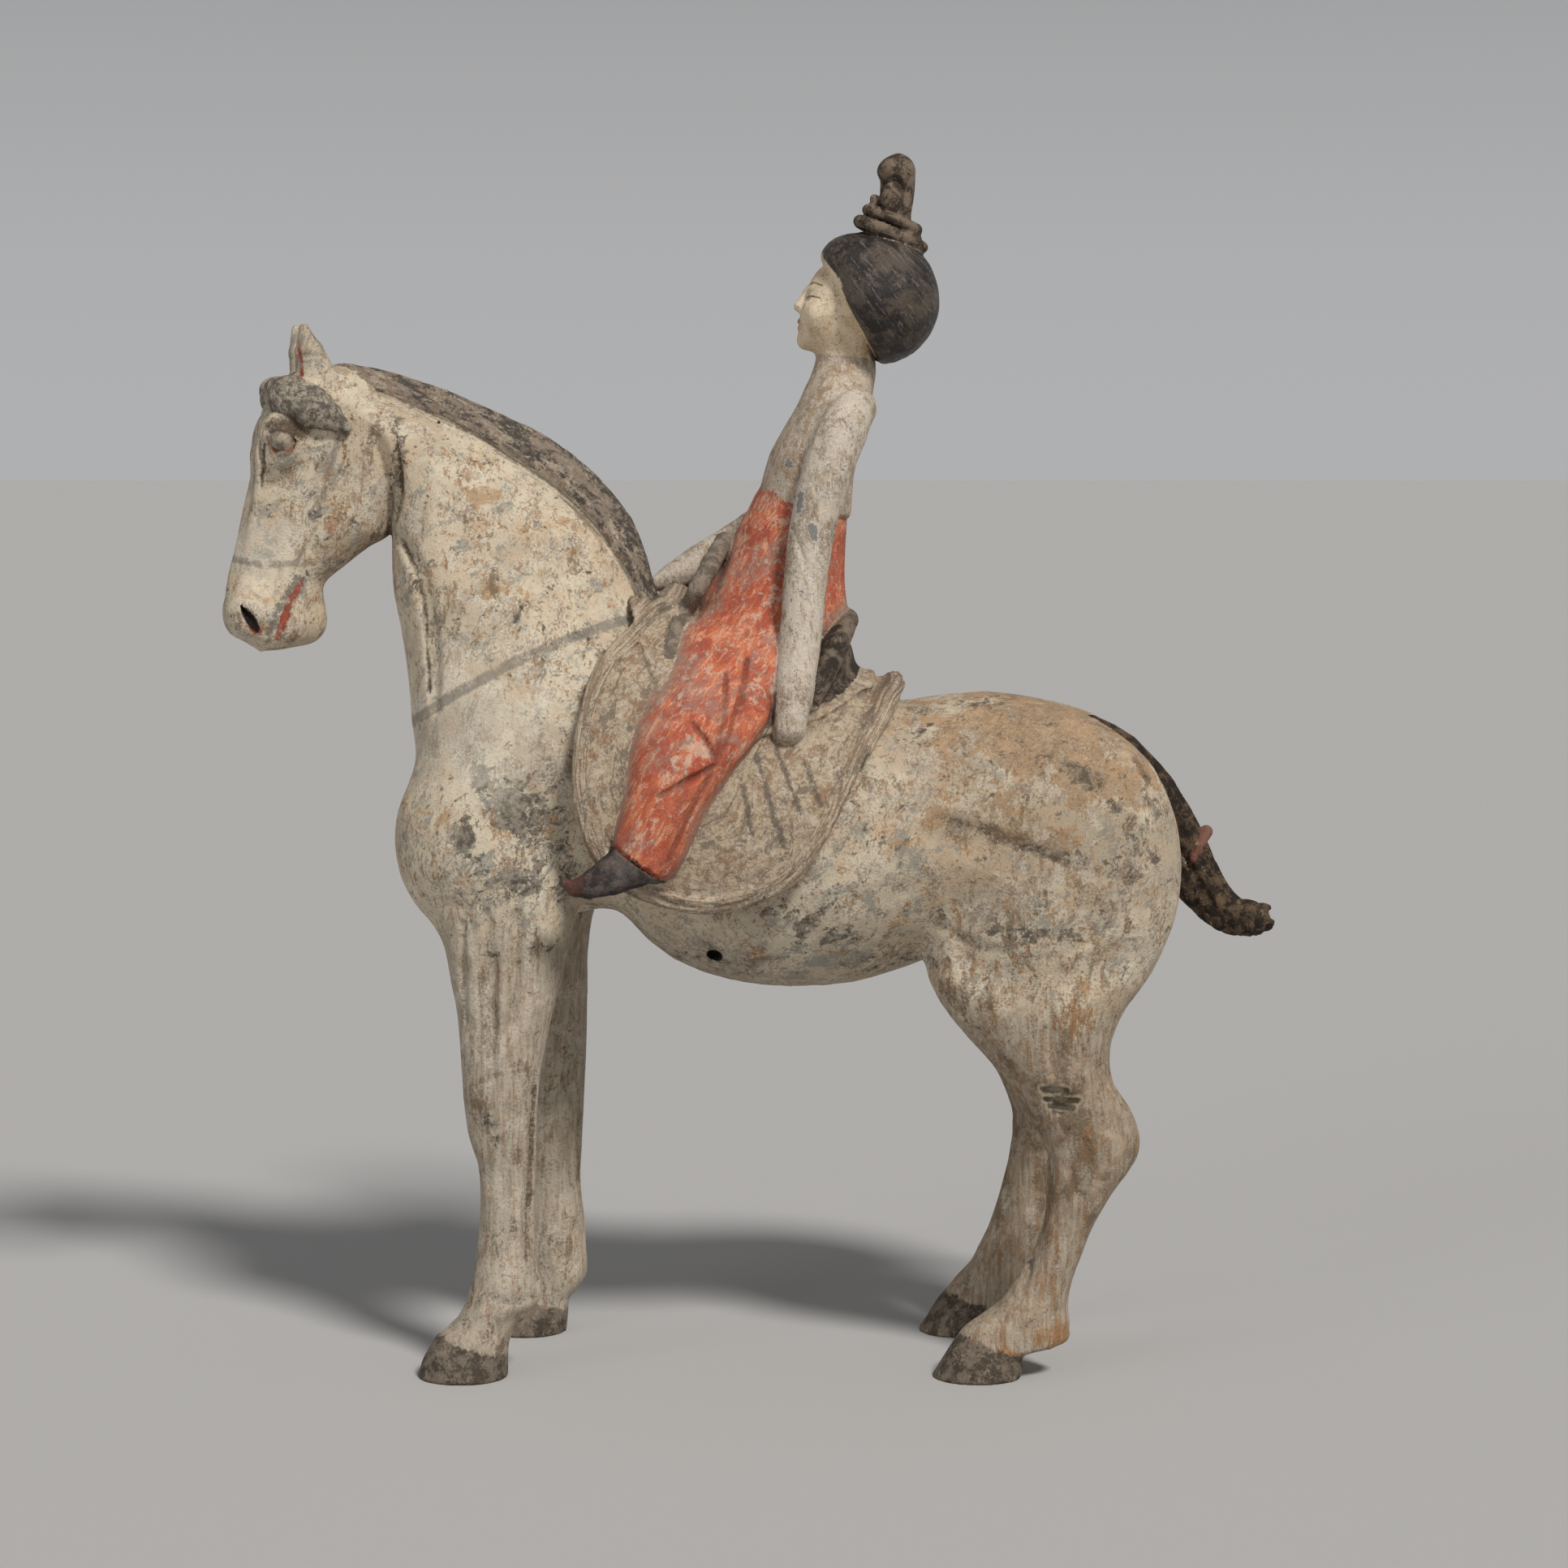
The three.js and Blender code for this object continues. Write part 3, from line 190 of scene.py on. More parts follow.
SKIRT = [
    (362, 5.5, 40, 24.5), (346, -3, 39.6, 25.5), (332, -10, 39, 27.5), (318, -19, 39, 30),
    (306, -25, 40, 33), (294, -30, 38, 36), (282, -36, 30, 38), (268, -38, 16, 38),
]
TROUSER_LEG = [
    (306, -24, 30, 12, 22), (298, -27.5, 26, 14, 29), (286, -34, 14, 15, 38), (278, -39, 10, 15.5, 46),
    (268, -43, 7.5, 15.5, 53), (258, -45.5, 1, 15, 58), (246, -47.3, -8.5, 14.5, 61),
    (233, -49.8, -17, 13, 63), (222, -52.4, -22, 11.5, 64), (212, -55, -27, 10.5, 64.5),
    (205, -53, -32, 9.5, 64.5),
]


# Fields of distance

def rounding(a, b, k):
    """What a fillet or a softened edge of size k adds where two distances are alike."""
    h = np.maximum(k - np.abs(a - b), 0) / k
    return h * h * k / 4


def join(a, b, k):
    return np.minimum(a, b) - rounding(a, b, k)


def keep(a, b, k):
    return np.maximum(a, b) + rounding(a, b, k)


def smoothstep(value, low, high):
    t = np.clip((value - low) / (high - low), 0, 1)
    return t * t * (3 - 2 * t)


class Shape:
    """A field of distance(x, y, z) with the box that holds its form."""

    def __init__(self, distance, low, high):
        self.distance = distance
        self.low = np.array(low, float)
        self.high = np.array(high, float)


class Table:
    """A smooth curve through rows of numbers, by their first column."""

    def __init__(self, rows):
        rows = np.array(sorted(rows), float)
        t, v = rows[:, 0], rows[:, 1:]
        slope = np.empty_like(v)
        slope[1:-1] = (v[2:] - v[:-2]) / (t[2:] - t[:-2])[:, None]
        slope[0] = (v[1] - v[0]) / (t[1] - t[0])
        slope[-1] = (v[-1] - v[-2]) / (t[-1] - t[-2])
        self.t = np.linspace(t[0], t[-1], 201)
        i = np.clip(np.searchsorted(t, self.t, side="right") - 1, 0, len(t) - 2)
        span = (t[i + 1] - t[i])[:, None]
        q = (self.t[:, None] - t[i][:, None]) / span
        self.v = (
            (2 * q**3 - 3 * q**2 + 1) * v[i]
            + (q**3 - 2 * q**2 + q) * span * slope[i]
            + (3 * q**2 - 2 * q**3) * v[i + 1]
            + (q**3 - q**2) * span * slope[i + 1]
        )
        self.low, self.high = t[0], t[-1]

    def at(self, t, column):
        return np.interp(t, self.t, self.v[:, column])


def loft(rows, origin=(0, 0), along=(1, 0), side=1, narrow=0.0, cap=6):
    """A form of oval sections along a straight axis in the middle plane."""
    table = Table(rows)
    across = (0, 1) if along[0] > 0.99 else (abs(along[1]), abs(along[0]))
    sideways = len(rows[0]) > 4

    def distance(x, y, z):
        dx, dz = x - origin[0], z - origin[1]
        t = dx * along[0] + dz * along[1]
        u = dx * across[0] + dz * across[1]
        low, high = table.at(t, 0), table.at(t, 1)
        ru = (high - low) / 2
        q = (u - (high + low) / 2) / ru
        rv = table.at(t, 2) * (1 - narrow * np.clip(q, -1, 1))
        w = (y - (side * table.at(t, 3) if sideways else 0)) / rv
        size = np.hypot(q, w)
        steep = np.hypot(q / ru, w / rv)
        oval = np.where(size < 1e-6, -np.minimum(ru, rv), size * (size - 1) / np.maximum(steep, 1e-9))
        return keep(oval, np.maximum(table.low - t, t - table.high), cap)

    t = np.linspace(table.low, table.high, 41)
    rv = table.at(t, 2) * (1 + narrow)
    centre = side * table.at(t, 3) if sideways else 0 * t
    u = np.concatenate((table.at(t, 0), table.at(t, 1)))
    tt = np.concatenate((t, t))
    x = origin[0] + tt * along[0] + u * across[0]
    z = origin[1] + tt * along[1] + u * across[1]
    low = (x.min(), (centre - rv).min(), z.min())
    high = (x.max(), (centre + rv).max(), z.max())
    return Shape(distance, low, high)


def upright(rows, **options):
    """A form of oval sections that stands upright."""
    return loft(rows, along=(0, 1), **options)


def ellipsoid(centre, radii):
    c, r = np.array(centre, float), np.array(radii, float)

    def distance(x, y, z):
        a, b, d = (x - c[0]) / r[0], (y - c[1]) / r[1], (z - c[2]) / r[2]
        size = np.sqrt(a * a + b * b + d * d)
        steep = np.sqrt((a / r[0]) ** 2 + (b / r[1]) ** 2 + (d / r[2]) ** 2)
        return np.where(size < 1e-6, -r.min(), size * (size - 1) / np.maximum(steep, 1e-9))

    return Shape(distance, c - r, c + r)


def rope(points):
    """A rope through points x, y, z, radius."""
    p = np.array(points, float)

    def distance(x, y, z):
        nearest = np.full(x.shape, np.inf)
        for a, b in zip(p[:-1], p[1:]):
            d = b - a
            h = ((x - a[0]) * d[0] + (y - a[1]) * d[1] + (z - a[2]) * d[2]) / (d[:3] @ d[:3])
            h = np.clip(h, 0, 1)
            gap = np.sqrt(
                (x - a[0] - h * d[0]) ** 2 + (y - a[1] - h * d[1]) ** 2 + (z - a[2] - h * d[2]) ** 2
            )
            nearest = np.minimum(nearest, gap - a[3] - h * d[3])
        return nearest

    r = p[:, 3:]
    return Shape(distance, (p[:, :3] - r).min(0), (p[:, :3] + r).max(0))


def curve_piece(a, b, c, d, q):
    """Points of a smooth curve from b to c."""
    return 0.5 * (2 * b + (c - a) * q + (2 * a - 5 * b + 4 * c - d) * q**2 + (3 * b - a - 3 * c + d) * q**3)


def smooth_points(points, pieces=16):
    """The same points rounded into one smooth curve."""
    p = np.array(points, float)
    t = np.linspace(0, len(p) - 1, pieces + 1)
    i = np.minimum(t.astype(int), len(p) - 2)
    q = (t - i)[:, None]
    ends = np.vstack((2 * p[0] - p[1], p, 2 * p[-1] - p[-2]))
    curve = curve_piece(ends[i], ends[i + 1], ends[i + 2], ends[i + 3], q)
    curve[:, 3:] = ends[i + 1, 3:] * (1 - q) + ends[i + 2, 3:] * q
    return curve


def smooth_rope(points, pieces=16):
    return rope(smooth_points(points, pieces))


def behind(normal, point, low, high):
    """The half space behind a plane, within a box."""
    n = np.array(normal, float)
    n /= np.linalg.norm(n)

    def distance(x, y, z):
        return (x - point[0]) * n[0] + (y - point[1]) * n[1] + (z - point[2]) * n[2]

    return Shape(distance, low, high)


def placed(shape, turned, low, high):
    """A shape that is built in a turned frame of its own."""
    return Shape(lambda x, y, z: shape.distance(*turned(x, y, z)), low, high)


class Sculpture:
    """Forms are added with a fillet or cut with a softened edge, in order. A zone names what an added
    form belongs to, for the paint."""

    def __init__(self):
        self.steps = []
        self.zones = {}
        self.low = np.full(3, np.inf)
        self.high = np.full(3, -np.inf)

    def distance(self, x, y, z):
        d = np.full(x.shape, FAR)
        for shape, k, kind in self.steps:
            low, high = shape.low - k - BOX_MARGIN, shape.high + k + BOX_MARGIN
            near = (x > low[0]) & (x < high[0]) & (y > low[1]) & (y < high[1])
            near &= (z > low[2]) & (z < high[2])
            if kind == "meet":
                d[~near] = FAR
            if not near.any():
                continue
            other = shape.distance(x[near], y[near], z[near])
            if kind == "add":
                d[near] = join(d[near], other, k)
            else:
                d[near] = keep(d[near], -other if kind == "cut" else other, k)
        return d

    def add(self, shape, k, zone=None):
        self.low = np.minimum(self.low, shape.low)
        self.high = np.maximum(self.high, shape.high)
        self.steps.append((shape, k, "add"))
        if zone:
            self.zones.setdefault(zone, []).append(shape)

    def cut(self, shape, k):
        self.steps.append((shape, k, "cut"))

    def meet(self, shape, k):
        self.steps.append((shape, k, "meet"))

    def surface(self, x, z, side):
        """Sideways place of the surface at x and z, met from the side given."""
        x, z = np.array(x, float), np.array(z, float)
        steps = np.arange(SEARCH_FROM, 0, -SEARCH_STEP)
        grid = np.broadcast_arrays(x[:, None], side * steps, z[:, None])
        met = self.distance(*(v.ravel() for v in grid)).reshape(len(x), -1) < 0
        first = np.where(met.any(1), met.argmax(1), len(steps) - 1)
        inside = side * steps[first]
        outside = inside + side * SEARCH_STEP
        for _ in range(HALVINGS):
            middle = (outside + inside) / 2
            within = self.distance(x, middle, z) < 0
            inside = np.where(within, middle, inside)
            outside = np.where(within, outside, middle)
        return inside

    def groove(self, points, side, depth, k=1.0):
        """A groove drawn on the side of the form through points x, z, radius."""
        curve = smooth_points([(x, 0, z, r) for x, z, r in points])
        radius = curve[:, 3]
        sunk = depth * radius / radius.max()
        curve[:, 1] = self.surface(curve[:, 0], curve[:, 2], side) + side * (radius - sunk)
        self.cut(rope(curve), k)


# The horse

def into_head(x, y, z):
    """Places in the horse's head: down the head, sideways and towards the forehead."""
    dx, dz = x - HEAD_POLL[0], z - HEAD_POLL[1]
    turned_x = dx * math.cos(HEAD_YAW) + y * math.sin(HEAD_YAW)
    turned_y = y * math.cos(HEAD_YAW) - dx * math.sin(HEAD_YAW)
    t = turned_x * HEAD_DOWN[0] + dz * HEAD_DOWN[1]
    u = turned_x * HEAD_DOWN[1] - dz * HEAD_DOWN[0]
    return t, turned_y, u


def sided(points, side):
    """Points x, y, z, radius on one side of the middle plane."""
    return [(x, side * y, z, r) for x, y, z, r in points]


neck_form = loft(NECK, NECK_BASE, NECK_UP, narrow=0.32)

# Parts of the head, in its own frame: down the head, sideways, towards the forehead, radius.
MOUTH = [(80.5, 14.2, -3.2, 0.7), (88, 15.6, -0.8, 1.4), (98, 15.8, 0.6, 1.7), (106.5, 14, 0.9, 1)]
NOSTRIL = [
    (96.6, 13.6, 17.6, 0.9), (100.4, 15.8, 13.6, 1.7), (104.4, 15.4, 9.4, 1.2), (106.4, 15, 7.6, 0.7),
]
EAR = [(1, 10, 11, 8.7), (-9, 12, 17, 6.2), (-17.8, 12.6, 21.8, 2.2)]
EAR_GROOVE = [(0.5, 15.6, 18.6, 0.6), (-6, 16.2, 21.2, 0.9), (-12.5, 14.8, 23.6, 0.6)]
EYE = (27.9, 19.8, 20)
EYE_RADII = (4.2, 4.6, 4.7)
LOWER_LID = [
    (27, 21, 14.8, 0.5), (31, 21.2, 15.9, 0.9), (32.8, 20.8, 19.8, 1),
    (31.2, 19.8, 23.8, 0.9), (27.6, 18.6, 25.6, 0.5),
]
UPPER_LID = [(26, 21, 14.4, 0.6), (23.6, 21.4, 17, 0.9), (22.8, 20.8, 20.2, 1), (24.4, 18.6, 25.2, 1.1)]
PARTING = [(-2, 0, 33, 2), (14, 0, 36, 2.4)]
LOCK = [
    (9, 7, 25, 6), (10.6, 13, 20.4, 9.2), (11.8, 17.6, 13, 9), (13.6, 21, 4.8, 5.8),
    (16.4, 23.4, -3.2, 2.4),
]
LOCK_LINES = [
    [(3, 19, 22, 0.5), (5, 25, 15, 0.8), (8.6, 26.6, 7, 0.7), (13.6, 26, -0.5, 0.5)],
    [(11, 19, 27, 0.5), (13, 26.4, 17.5, 0.8), (14.6, 27, 9.6, 0.6), (16, 26, 2.5, 0.4)],
]


def cheek(head, side):
    """Nostril, brow and cheek bone in the round, and the hollow above the cheek bone."""
    head.add(ellipsoid((98, side * 8, 13.5), (11.5, 8.5, 9)), 5)
    head.add(ellipsoid((27, side * 12, 18.5), (15, 10, 10)), 5)
    head.add(rope(sided([(36, 11, 24, 2.5), (60, 9, 21, 2), (78, 7, 19, 1.2)], side)), 5)
    head.cut(rope(sided([(31, 14.5, 27.5, 1.1), (40, 15.5, 24.5, 1.5), (50, 15.5, 21, 0.9)], side)), 1)


def eye(head, side):
    """The eyeball in its socket, between two lids."""
    head.cut(ellipsoid((27.6, side * 22.8, 19.6), (7, 4.5, 6)), 1.5)
    head.add(ellipsoid((EYE[0], side * EYE[1], EYE[2]), EYE_RADII), 0.4)
    head.add(smooth_rope(sided(LOWER_LID, side)), 0.7)
    head.add(smooth_rope(sided(UPPER_LID, side)), 0.9)


def forelock(head, side):
    """One of the two locks that part on the forehead."""
    head.add(rope(sided(LOCK, side)), 1, "forelock")
    for line in LOCK_LINES:
        head.cut(smooth_rope(sided(line, side)), 0.6)


def horse_head():
    head = Sculpture()
    head.add(loft(HEAD, narrow=0.22, cap=9), 1)
    head.add(ellipsoid((96, 0, -10), (8, 10, 7.5)), 5)
    for side in SIDES:
        cheek(head, side)
        eye(head, side)
        head.cut(rope(sided(NOSTRIL, side)), 1)
        head.cut(rope(sided(MOUTH, side)), 1)
        forelock(head, side)
        head.add(rope(sided(EAR, side)), 2.6)
        head.cut(rope(sided(EAR_GROOVE, side)), 0.8)
    head.cut(rope(PARTING), 2)
    return head


# Hollows of the body: points x, z, radius, with the depth and the softness of the edge.
BODY_HOLLOWS = [
    ([(-141, 338, 3), (-134, 327, 4), (-130, 311, 4), (-128, 292, 4), (-127, 272, 3)], 1.6, 3),
    ([(84, 172, 9), (104, 163, 10), (128, 163, 10), (150, 172, 8)], 1.6, 6),
    ([(74, 222, 7), (98, 216, 9), (118, 210, 7)], 1.2, 6),
]
LEG_GROOVES = [
    ([(-114.8, 186, 1.4), (-115, 166, 2.2), (-114, 146, 1.2)], 1.8, 1.2),
    ([(-105, 190, 2.4), (-104.6, 166, 4), (-103.6, 146, 3), (-103, 124, 1.4)], 3, 1.8),
    ([(-92, 190, 2.4), (-93.4, 168, 3.6), (-94.8, 146, 2)], 2.8, 1.6),
    ([(-85.4, 140, 1.2), (-86, 112, 1.7), (-87.6, 84, 1.7), (-89, 50, 1.2)], 1.5, 0.8),
    ([(-99, 96, 2), (-98, 74, 2.6), (-98.4, 52, 2)], 0.9, 2),
    ([(119, 154, 1.8), (121, 144, 3.4), (124, 128, 3), (126, 119, 1.5)], 2.1, 2),
    ([(134.5, 98, 1.8), (136, 87, 3.2), (132.4, 76, 2)], 2.2, 1.6),
    ([(133, 76, 1.4), (128, 62, 2.2), (121.6, 46, 1.8), (118, 34, 1)], 1.5, 1.2),
    ([(120, 94, 1.4), (119, 74, 2.4), (114.6, 52, 2), (110, 36, 1)], 1.3, 1.4),
]
# Scars of the left hock: grooves through points x, z, radius, and the lines of painted shade in them.
SCAR = [
    [(118, 115.4, 0.8), (124, 115.6, 1.3), (132, 115.4, 0.8)],
    [(120, 112.6, 1), (125.4, 111.6, 1.9), (130.4, 112.8, 1)],
    [(117, 119.8, 0.7), (122.4, 120.4, 1.5), (128, 119, 0.7)],
]
SCAR_LINES = [
    ((117.5, 119.9), (127, 119.4)), ((119, 115.6), (131.5, 115.4)), ((120.6, 112.6), (129.6, 112.2)),
]


def far_side(x, z, side):
    """Place on the far leg, which is set further back in front and further forward behind."""
    if side < 0:
        return x
    return x + 7 + min(0.12 * (165 - z), 8) if x < 0 else x - min(0.09 * max(160 - z, 0), 8)


TAIL = [
    (140, 0, 262, 4), (154, 0, 252, 6), (167, 0, 236, 7.5), (176, 0, 220, 7.5), (184, 0, 206, 7),
    (190, 0, 193, 7.5), (197, 0, 184, 8), (206, 0, 182, 7.5), (212, 0, 182.5, 5.5),
]
TAIL_LOOP = [(176, 0, 208, 5.5), (180, 0, 197, 6), (187, 0, 187.5, 5), (195, 0, 181, 4)]
HALF_KNOT = [(181, -7.2, 207, 1), (184.5, -6.2, 213, 1.5), (187.6, 0, 218, 2.7)]
VENT = [(-14, -60, 165, 2.7), (-14, -30, 172, 2.7)]


def carve_horse(horse):
    """Hollows of the neck and the haunches, sinews of the legs, and the scars on the left hock."""
    for side in SIDES:
        for points, depth, k in BODY_HOLLOWS:
            horse.groove(points, side, depth, k)
        for points, depth, k in LEG_GROOVES:
            horse.groove([(far_side(x, z, side), z, r) for x, z, r in points], side, depth, k)
    for points in SCAR:
        horse.groove(points, -1, 1.3, 0.3)


def set_head(horse):
    """The head on its neck, with the forelock as a zone."""
    head = horse_head()
    low, high = (-225, -50, 280), (-120, 40, 432)
    horse.add(placed(head, into_head, low, high), 3.5)
    locks = Sculpture()
    for shape in head.zones["forelock"]:
        locks.add(shape, 1)
    horse.zones["forelock"] = [placed(locks, into_head, low, high)]


def set_tail(horse):
    """The tail, tied up by a cord at its bend."""
    horse.add(smooth_rope(TAIL), 2.5, "tail")
    horse.add(smooth_rope(HALF_KNOT + sided(HALF_KNOT, -1)[1::-1]), 0.8, "knot")
    horse.add(smooth_rope(TAIL_LOOP), 1.5, "tail")
    horse.cut(ellipsoid((216.5, 0, 184), (3.5, 9, 3)), 1)


def build_horse():
    horse = Sculpture()
    horse.add(loft(TRUNK), 1)
    for side in SIDES:
        horse.add(ellipsoid((-106, side * 17, 217), (38, 35, 43)), 9)
        horse.add(ellipsoid((125, side * 24, 208), (49.5, 34, 60)), 12)
    horse.add(neck_form, 14)
    horse.add(upright(LEFT_FORELEG, side=-1), 9)
    horse.add(upright(RIGHT_FORELEG, side=1), 9)
    horse.add(upright(LEFT_HINDLEG, side=-1), 10)
    horse.add(upright(RIGHT_HINDLEG, side=1), 10)
    carve_horse(horse)
    horse.add(loft(MANE, NECK_BASE, NECK_UP, narrow=0.15, cap=4), 1.6, "mane")
    set_head(horse)
    set_tail(horse)
    horse.cut(rope(VENT), 0.8)
    horse.cut(behind((0, 0, 1), (0, 0, 0), (-240, -90, -20), (240, 90, 0)), 0.8)
    return horse


# The rider

def rounded_ring(points):
    """A closed outline rounded into a smooth curve of short pieces."""
    p = np.array(points, float)
    count = len(p)
    q = np.linspace(0, 1, 6)[:-1, None]
    corners = [(p[i - 1], p[i], p[(i + 1) % count], p[(i + 2) % count]) for i in range(count)]
    return np.vstack([curve_piece(*corner, q) for corner in corners])


def outline_distance(points):
    """Signed distance to a closed outline in x and z, looked up in a fine grid."""
    p = np.array(points, float)
    ring = rounded_ring(points)
    low = p.min(0) - OUTLINE_MARGIN
    nx, nz = (np.ceil((p.max(0) + OUTLINE_MARGIN - low) / OUTLINE_STEP)).astype(int)
    x = low[0] + OUTLINE_STEP * np.arange(nx)
    z = low[1] + OUTLINE_STEP * np.arange(nz)
    x, z = np.meshgrid(x, z, indexing="ij")
    best = np.full(x.shape, np.inf)
    inside = np.zeros(x.shape, bool)
    for a, b in zip(ring, np.roll(ring, -1, 0)):
        dx, dz = b - a
        h = np.clip(((x - a[0]) * dx + (z - a[1]) * dz) / max(dx * dx + dz * dz, 1e-9), 0, 1)
        best = np.minimum(best, np.hypot(x - a[0] - h * dx, z - a[1] - h * dz))
        if a[1] != b[1]:
            inside ^= ((a[1] > z) != (b[1] > z)) & (x < dx * (z - a[1]) / dz + a[0])
    signed = np.where(inside, -best, best)

    def distance(x, z):
        fx = np.clip((x - low[0]) / OUTLINE_STEP, 0, nx - 1.001)
        fz = np.clip((z - low[1]) / OUTLINE_STEP, 0, nz - 1.001)
        i, j = fx.astype(int), fz.astype(int)
        fx, fz = fx - i, fz - j
        near = signed[i, j] * (1 - fx) + signed[i + 1, j] * fx
        far = signed[i, j + 1] * (1 - fx) + signed[i + 1, j + 1] * fx
        return near * (1 - fz) + far * fz

    return distance


# Parts of the saddle: points x, sideways, z, radius.
REAR_ROLL = [(46, 257), (52, 266.5), (56.5, 274), (59.5, 280)]
FRONT_BAR = [(-10, 0, 337, 4), (-13.5, 13, 332, 4), (-20, 25, 320, 3.8)]
FRONT_BAR_END = [(-25.5, 311, 3.4), (-29.5, 302, 3), (-32, 293, 2.2)]
RAISED_BACK = [
    (39.5, 0, 305, 4.4), (38.5, 15, 302.5, 4.4), (35, 27, 296, 4.6), (30, 37, 285, 4.6),
    (25, 44, 274, 3.5),
]
cloth_edge = outline_distance(CLOTH_OUTLINE)
seat_edge = outline_distance(SEAT_OUTLINE)
saddle_form = loft(SADDLE_FORM)


def saddle_layer(inner, outer, edge, rim):
    """A layer of cloth around the horse's back inside an outline, with a raised rim or without."""

    def distance(x, y, z):
        out = edge(x, z)
        height = saddle_form.distance(x, y, z)
        lift = 0
        if rim:
            height = join(height, neck_form.distance(x, y, z), 4)
            lift = RIM_HEIGHT * smoothstep(out, -RIM_WIDTH - 1, -RIM_WIDTH + 1)
            lift = lift - 0.9 * np.exp(-(((out + RIM_WIDTH * 0.5) / 0.9) ** 2))
        middle = (inner + outer + lift) / 2
        d = keep(np.abs(height - middle) - (outer + lift - inner) / 2, out, 2.5)
        return np.where(out > 12, out, d)

    return Shape(distance, (-75, -70, 186), (70, 70, 322))


def build_saddle():
    saddle = Sculpture()
    top = SADDLE_INSIDE + SADDLE_CLOTH
    saddle.add(saddle_layer(SADDLE_INSIDE, top, cloth_edge, True), 1)
    saddle.add(saddle_layer(SADDLE_INSIDE, top + 2.5, seat_edge, False), 1.5)
    saddle.add(ellipsoid((-30, 0, 303), (11, 27, 17)), 3)
    x, z, radius = np.transpose(FRONT_BAR_END)
    for side in SIDES:
        lower = np.stack((x, saddle.surface(x, z, side) - side, z, radius), 1)
        saddle.add(smooth_rope(np.vstack((sided(FRONT_BAR, side), lower))), 1.5, "pommel")
        saddle.add(smooth_rope(sided(RAISED_BACK, side)), 2, "cantle")
    saddle.add(ellipsoid((31, 0, 287), (12, 33, 16)), 5, "cantle")
    x, z = np.transpose(REAR_ROLL)
    for side in SIDES:
        roll = np.stack((x, saddle.surface(x, z, side) - side * 2, z, 0 * x + 3.4), 1)
        saddle.add(smooth_rope(roll), 1.5)
    return saddle


def into_rider_head(x, y, z):
    """Places in the rider's head, which is tilted; the face looks towards -X."""
    dx, dz = x - FACE_CENTRE[0], z - FACE_CENTRE[1]
    c, s = math.cos(FACE_TILT), math.sin(FACE_TILT)
    return dx * c - dz * s, y, dx * s + dz * c


def out_of_rider_head(x, z):
    c, s = math.cos(FACE_TILT), math.sin(FACE_TILT)
    return FACE_CENTRE[0] + x * c + z * s, FACE_CENTRE[1] - x * s + z * c


BROW_AND_LID = [
    ((-16.5, 6.3), (-15.4, 7.1)), ((-15.4, 7.1), (-12, 6.3)),
    ((-16.8, 1), (-15.2, 1.5)), ((-15.2, 1.5), (-12, 1.1)),
]
FACE_LINES = [(out_of_rider_head(*start), out_of_rider_head(*end)) for start, end in BROW_AND_LID]


# The lips from the middle to the corner, in the head's own frame.
UPPER_LIP = [(-18, 0, -9.1, 1.3), (-17.2, 2.6, -9.4, 0.8)]
LOWER_LIP = [(-17.3, 0, -11.8, 1.4), (-16.8, 2, -11.6, 0.9)]


def rider_eye(face, side):
    """The socket, the lid over the eyeball and the slit between the lids."""
    slit = [(-17, side * 4, 0.9, 0.35), (-16.6, side * 6.5, 1.1, 0.4), (-14.6, side * 9.4, 1.3, 0.35)]
    face.cut(rope([(-17.6, side * 3.4, 1.4, 1.4), (-15.5, side * 9.5, 1.6, 1.2)]), 1.6)
    face.add(ellipsoid((-14.4, side * 6.3, 1.3), (2.4, 3.4, 1.6)), 0.6)
    face.cut(rope(slit), 0.3)


def rider_face():
    """A plain face: head, jaw, chin, nose, cheeks, eyes and lips."""
    face = Sculpture()
    face.add(ellipsoid((1, 0, 1), (19, 17, 19.5)), 1)
    face.add(ellipsoid((-6, 0, -10), (11.5, 12.5, 10.5)), 7)
    face.add(ellipsoid((-14.5, 0, -16.5), (3.4, 4.6, 3.4)), 4)
    face.add(rope([(-17.4, 0, 4, 1), (-19.8, 0, -3.4, 1.9)]), 2.5)
    for side in SIDES:
        face.add(ellipsoid((-18.2, side * 1.9, -4.2), (1.9, 1.6, 1.4)), 1.2)
        face.add(ellipsoid((-11.5, side * 8, -5), (5, 5, 4.5)), 5)
        rider_eye(face, side)
    for lip in (UPPER_LIP, LOWER_LIP):
        face.add(rope(sided(lip[::-1], -1) + lip[1:]), 0.8, "lips")
    return face


def rider_hair():
    hair = Sculpture()
    hair.add(ellipsoid((53, 0, 435), (24, 28.5, 26)), 1)
    hair.add(ellipsoid((41, 0, 450), (12.5, 21, 11)), 7)
    hair.meet(behind((-0.87, 0, -0.5), (39.5, 0, 432), (20, -34, 400), (84, 34, 465)), 2.5)
    return hair


def coil(cx, cz, rx, ry, r):
    """A tilted ring of hair around the topknot."""
    a = np.linspace(0, 2 * math.pi, 25)
    ring = (cx + rx * np.cos(a), ry * np.sin(a), cz - 0.42 * rx * np.cos(a), r + 0 * a)
    return rope(np.stack(ring, 1))


# The topknot: its stem as points x, sideways, z, radius, and its furrows as points x, z, radius.
STEM = [(58, 0, 460, 7.5), (58.8, 0, 470, 6.6), (59.8, 0, 479, 7), (60.2, 0, 486.4, 7.2)]
LOOP_FURROW = [
    (54, 470, 0.8), (53, 477, 1), (56, 482.4, 1.1), (60.3, 482, 1.1), (61.8, 476, 1), (60, 469, 0.8),
]
REAR_FURROW = [(61, 470, 0.6), (64, 478, 0.9), (64.2, 486, 0.9), (60, 490.5, 0.6)]


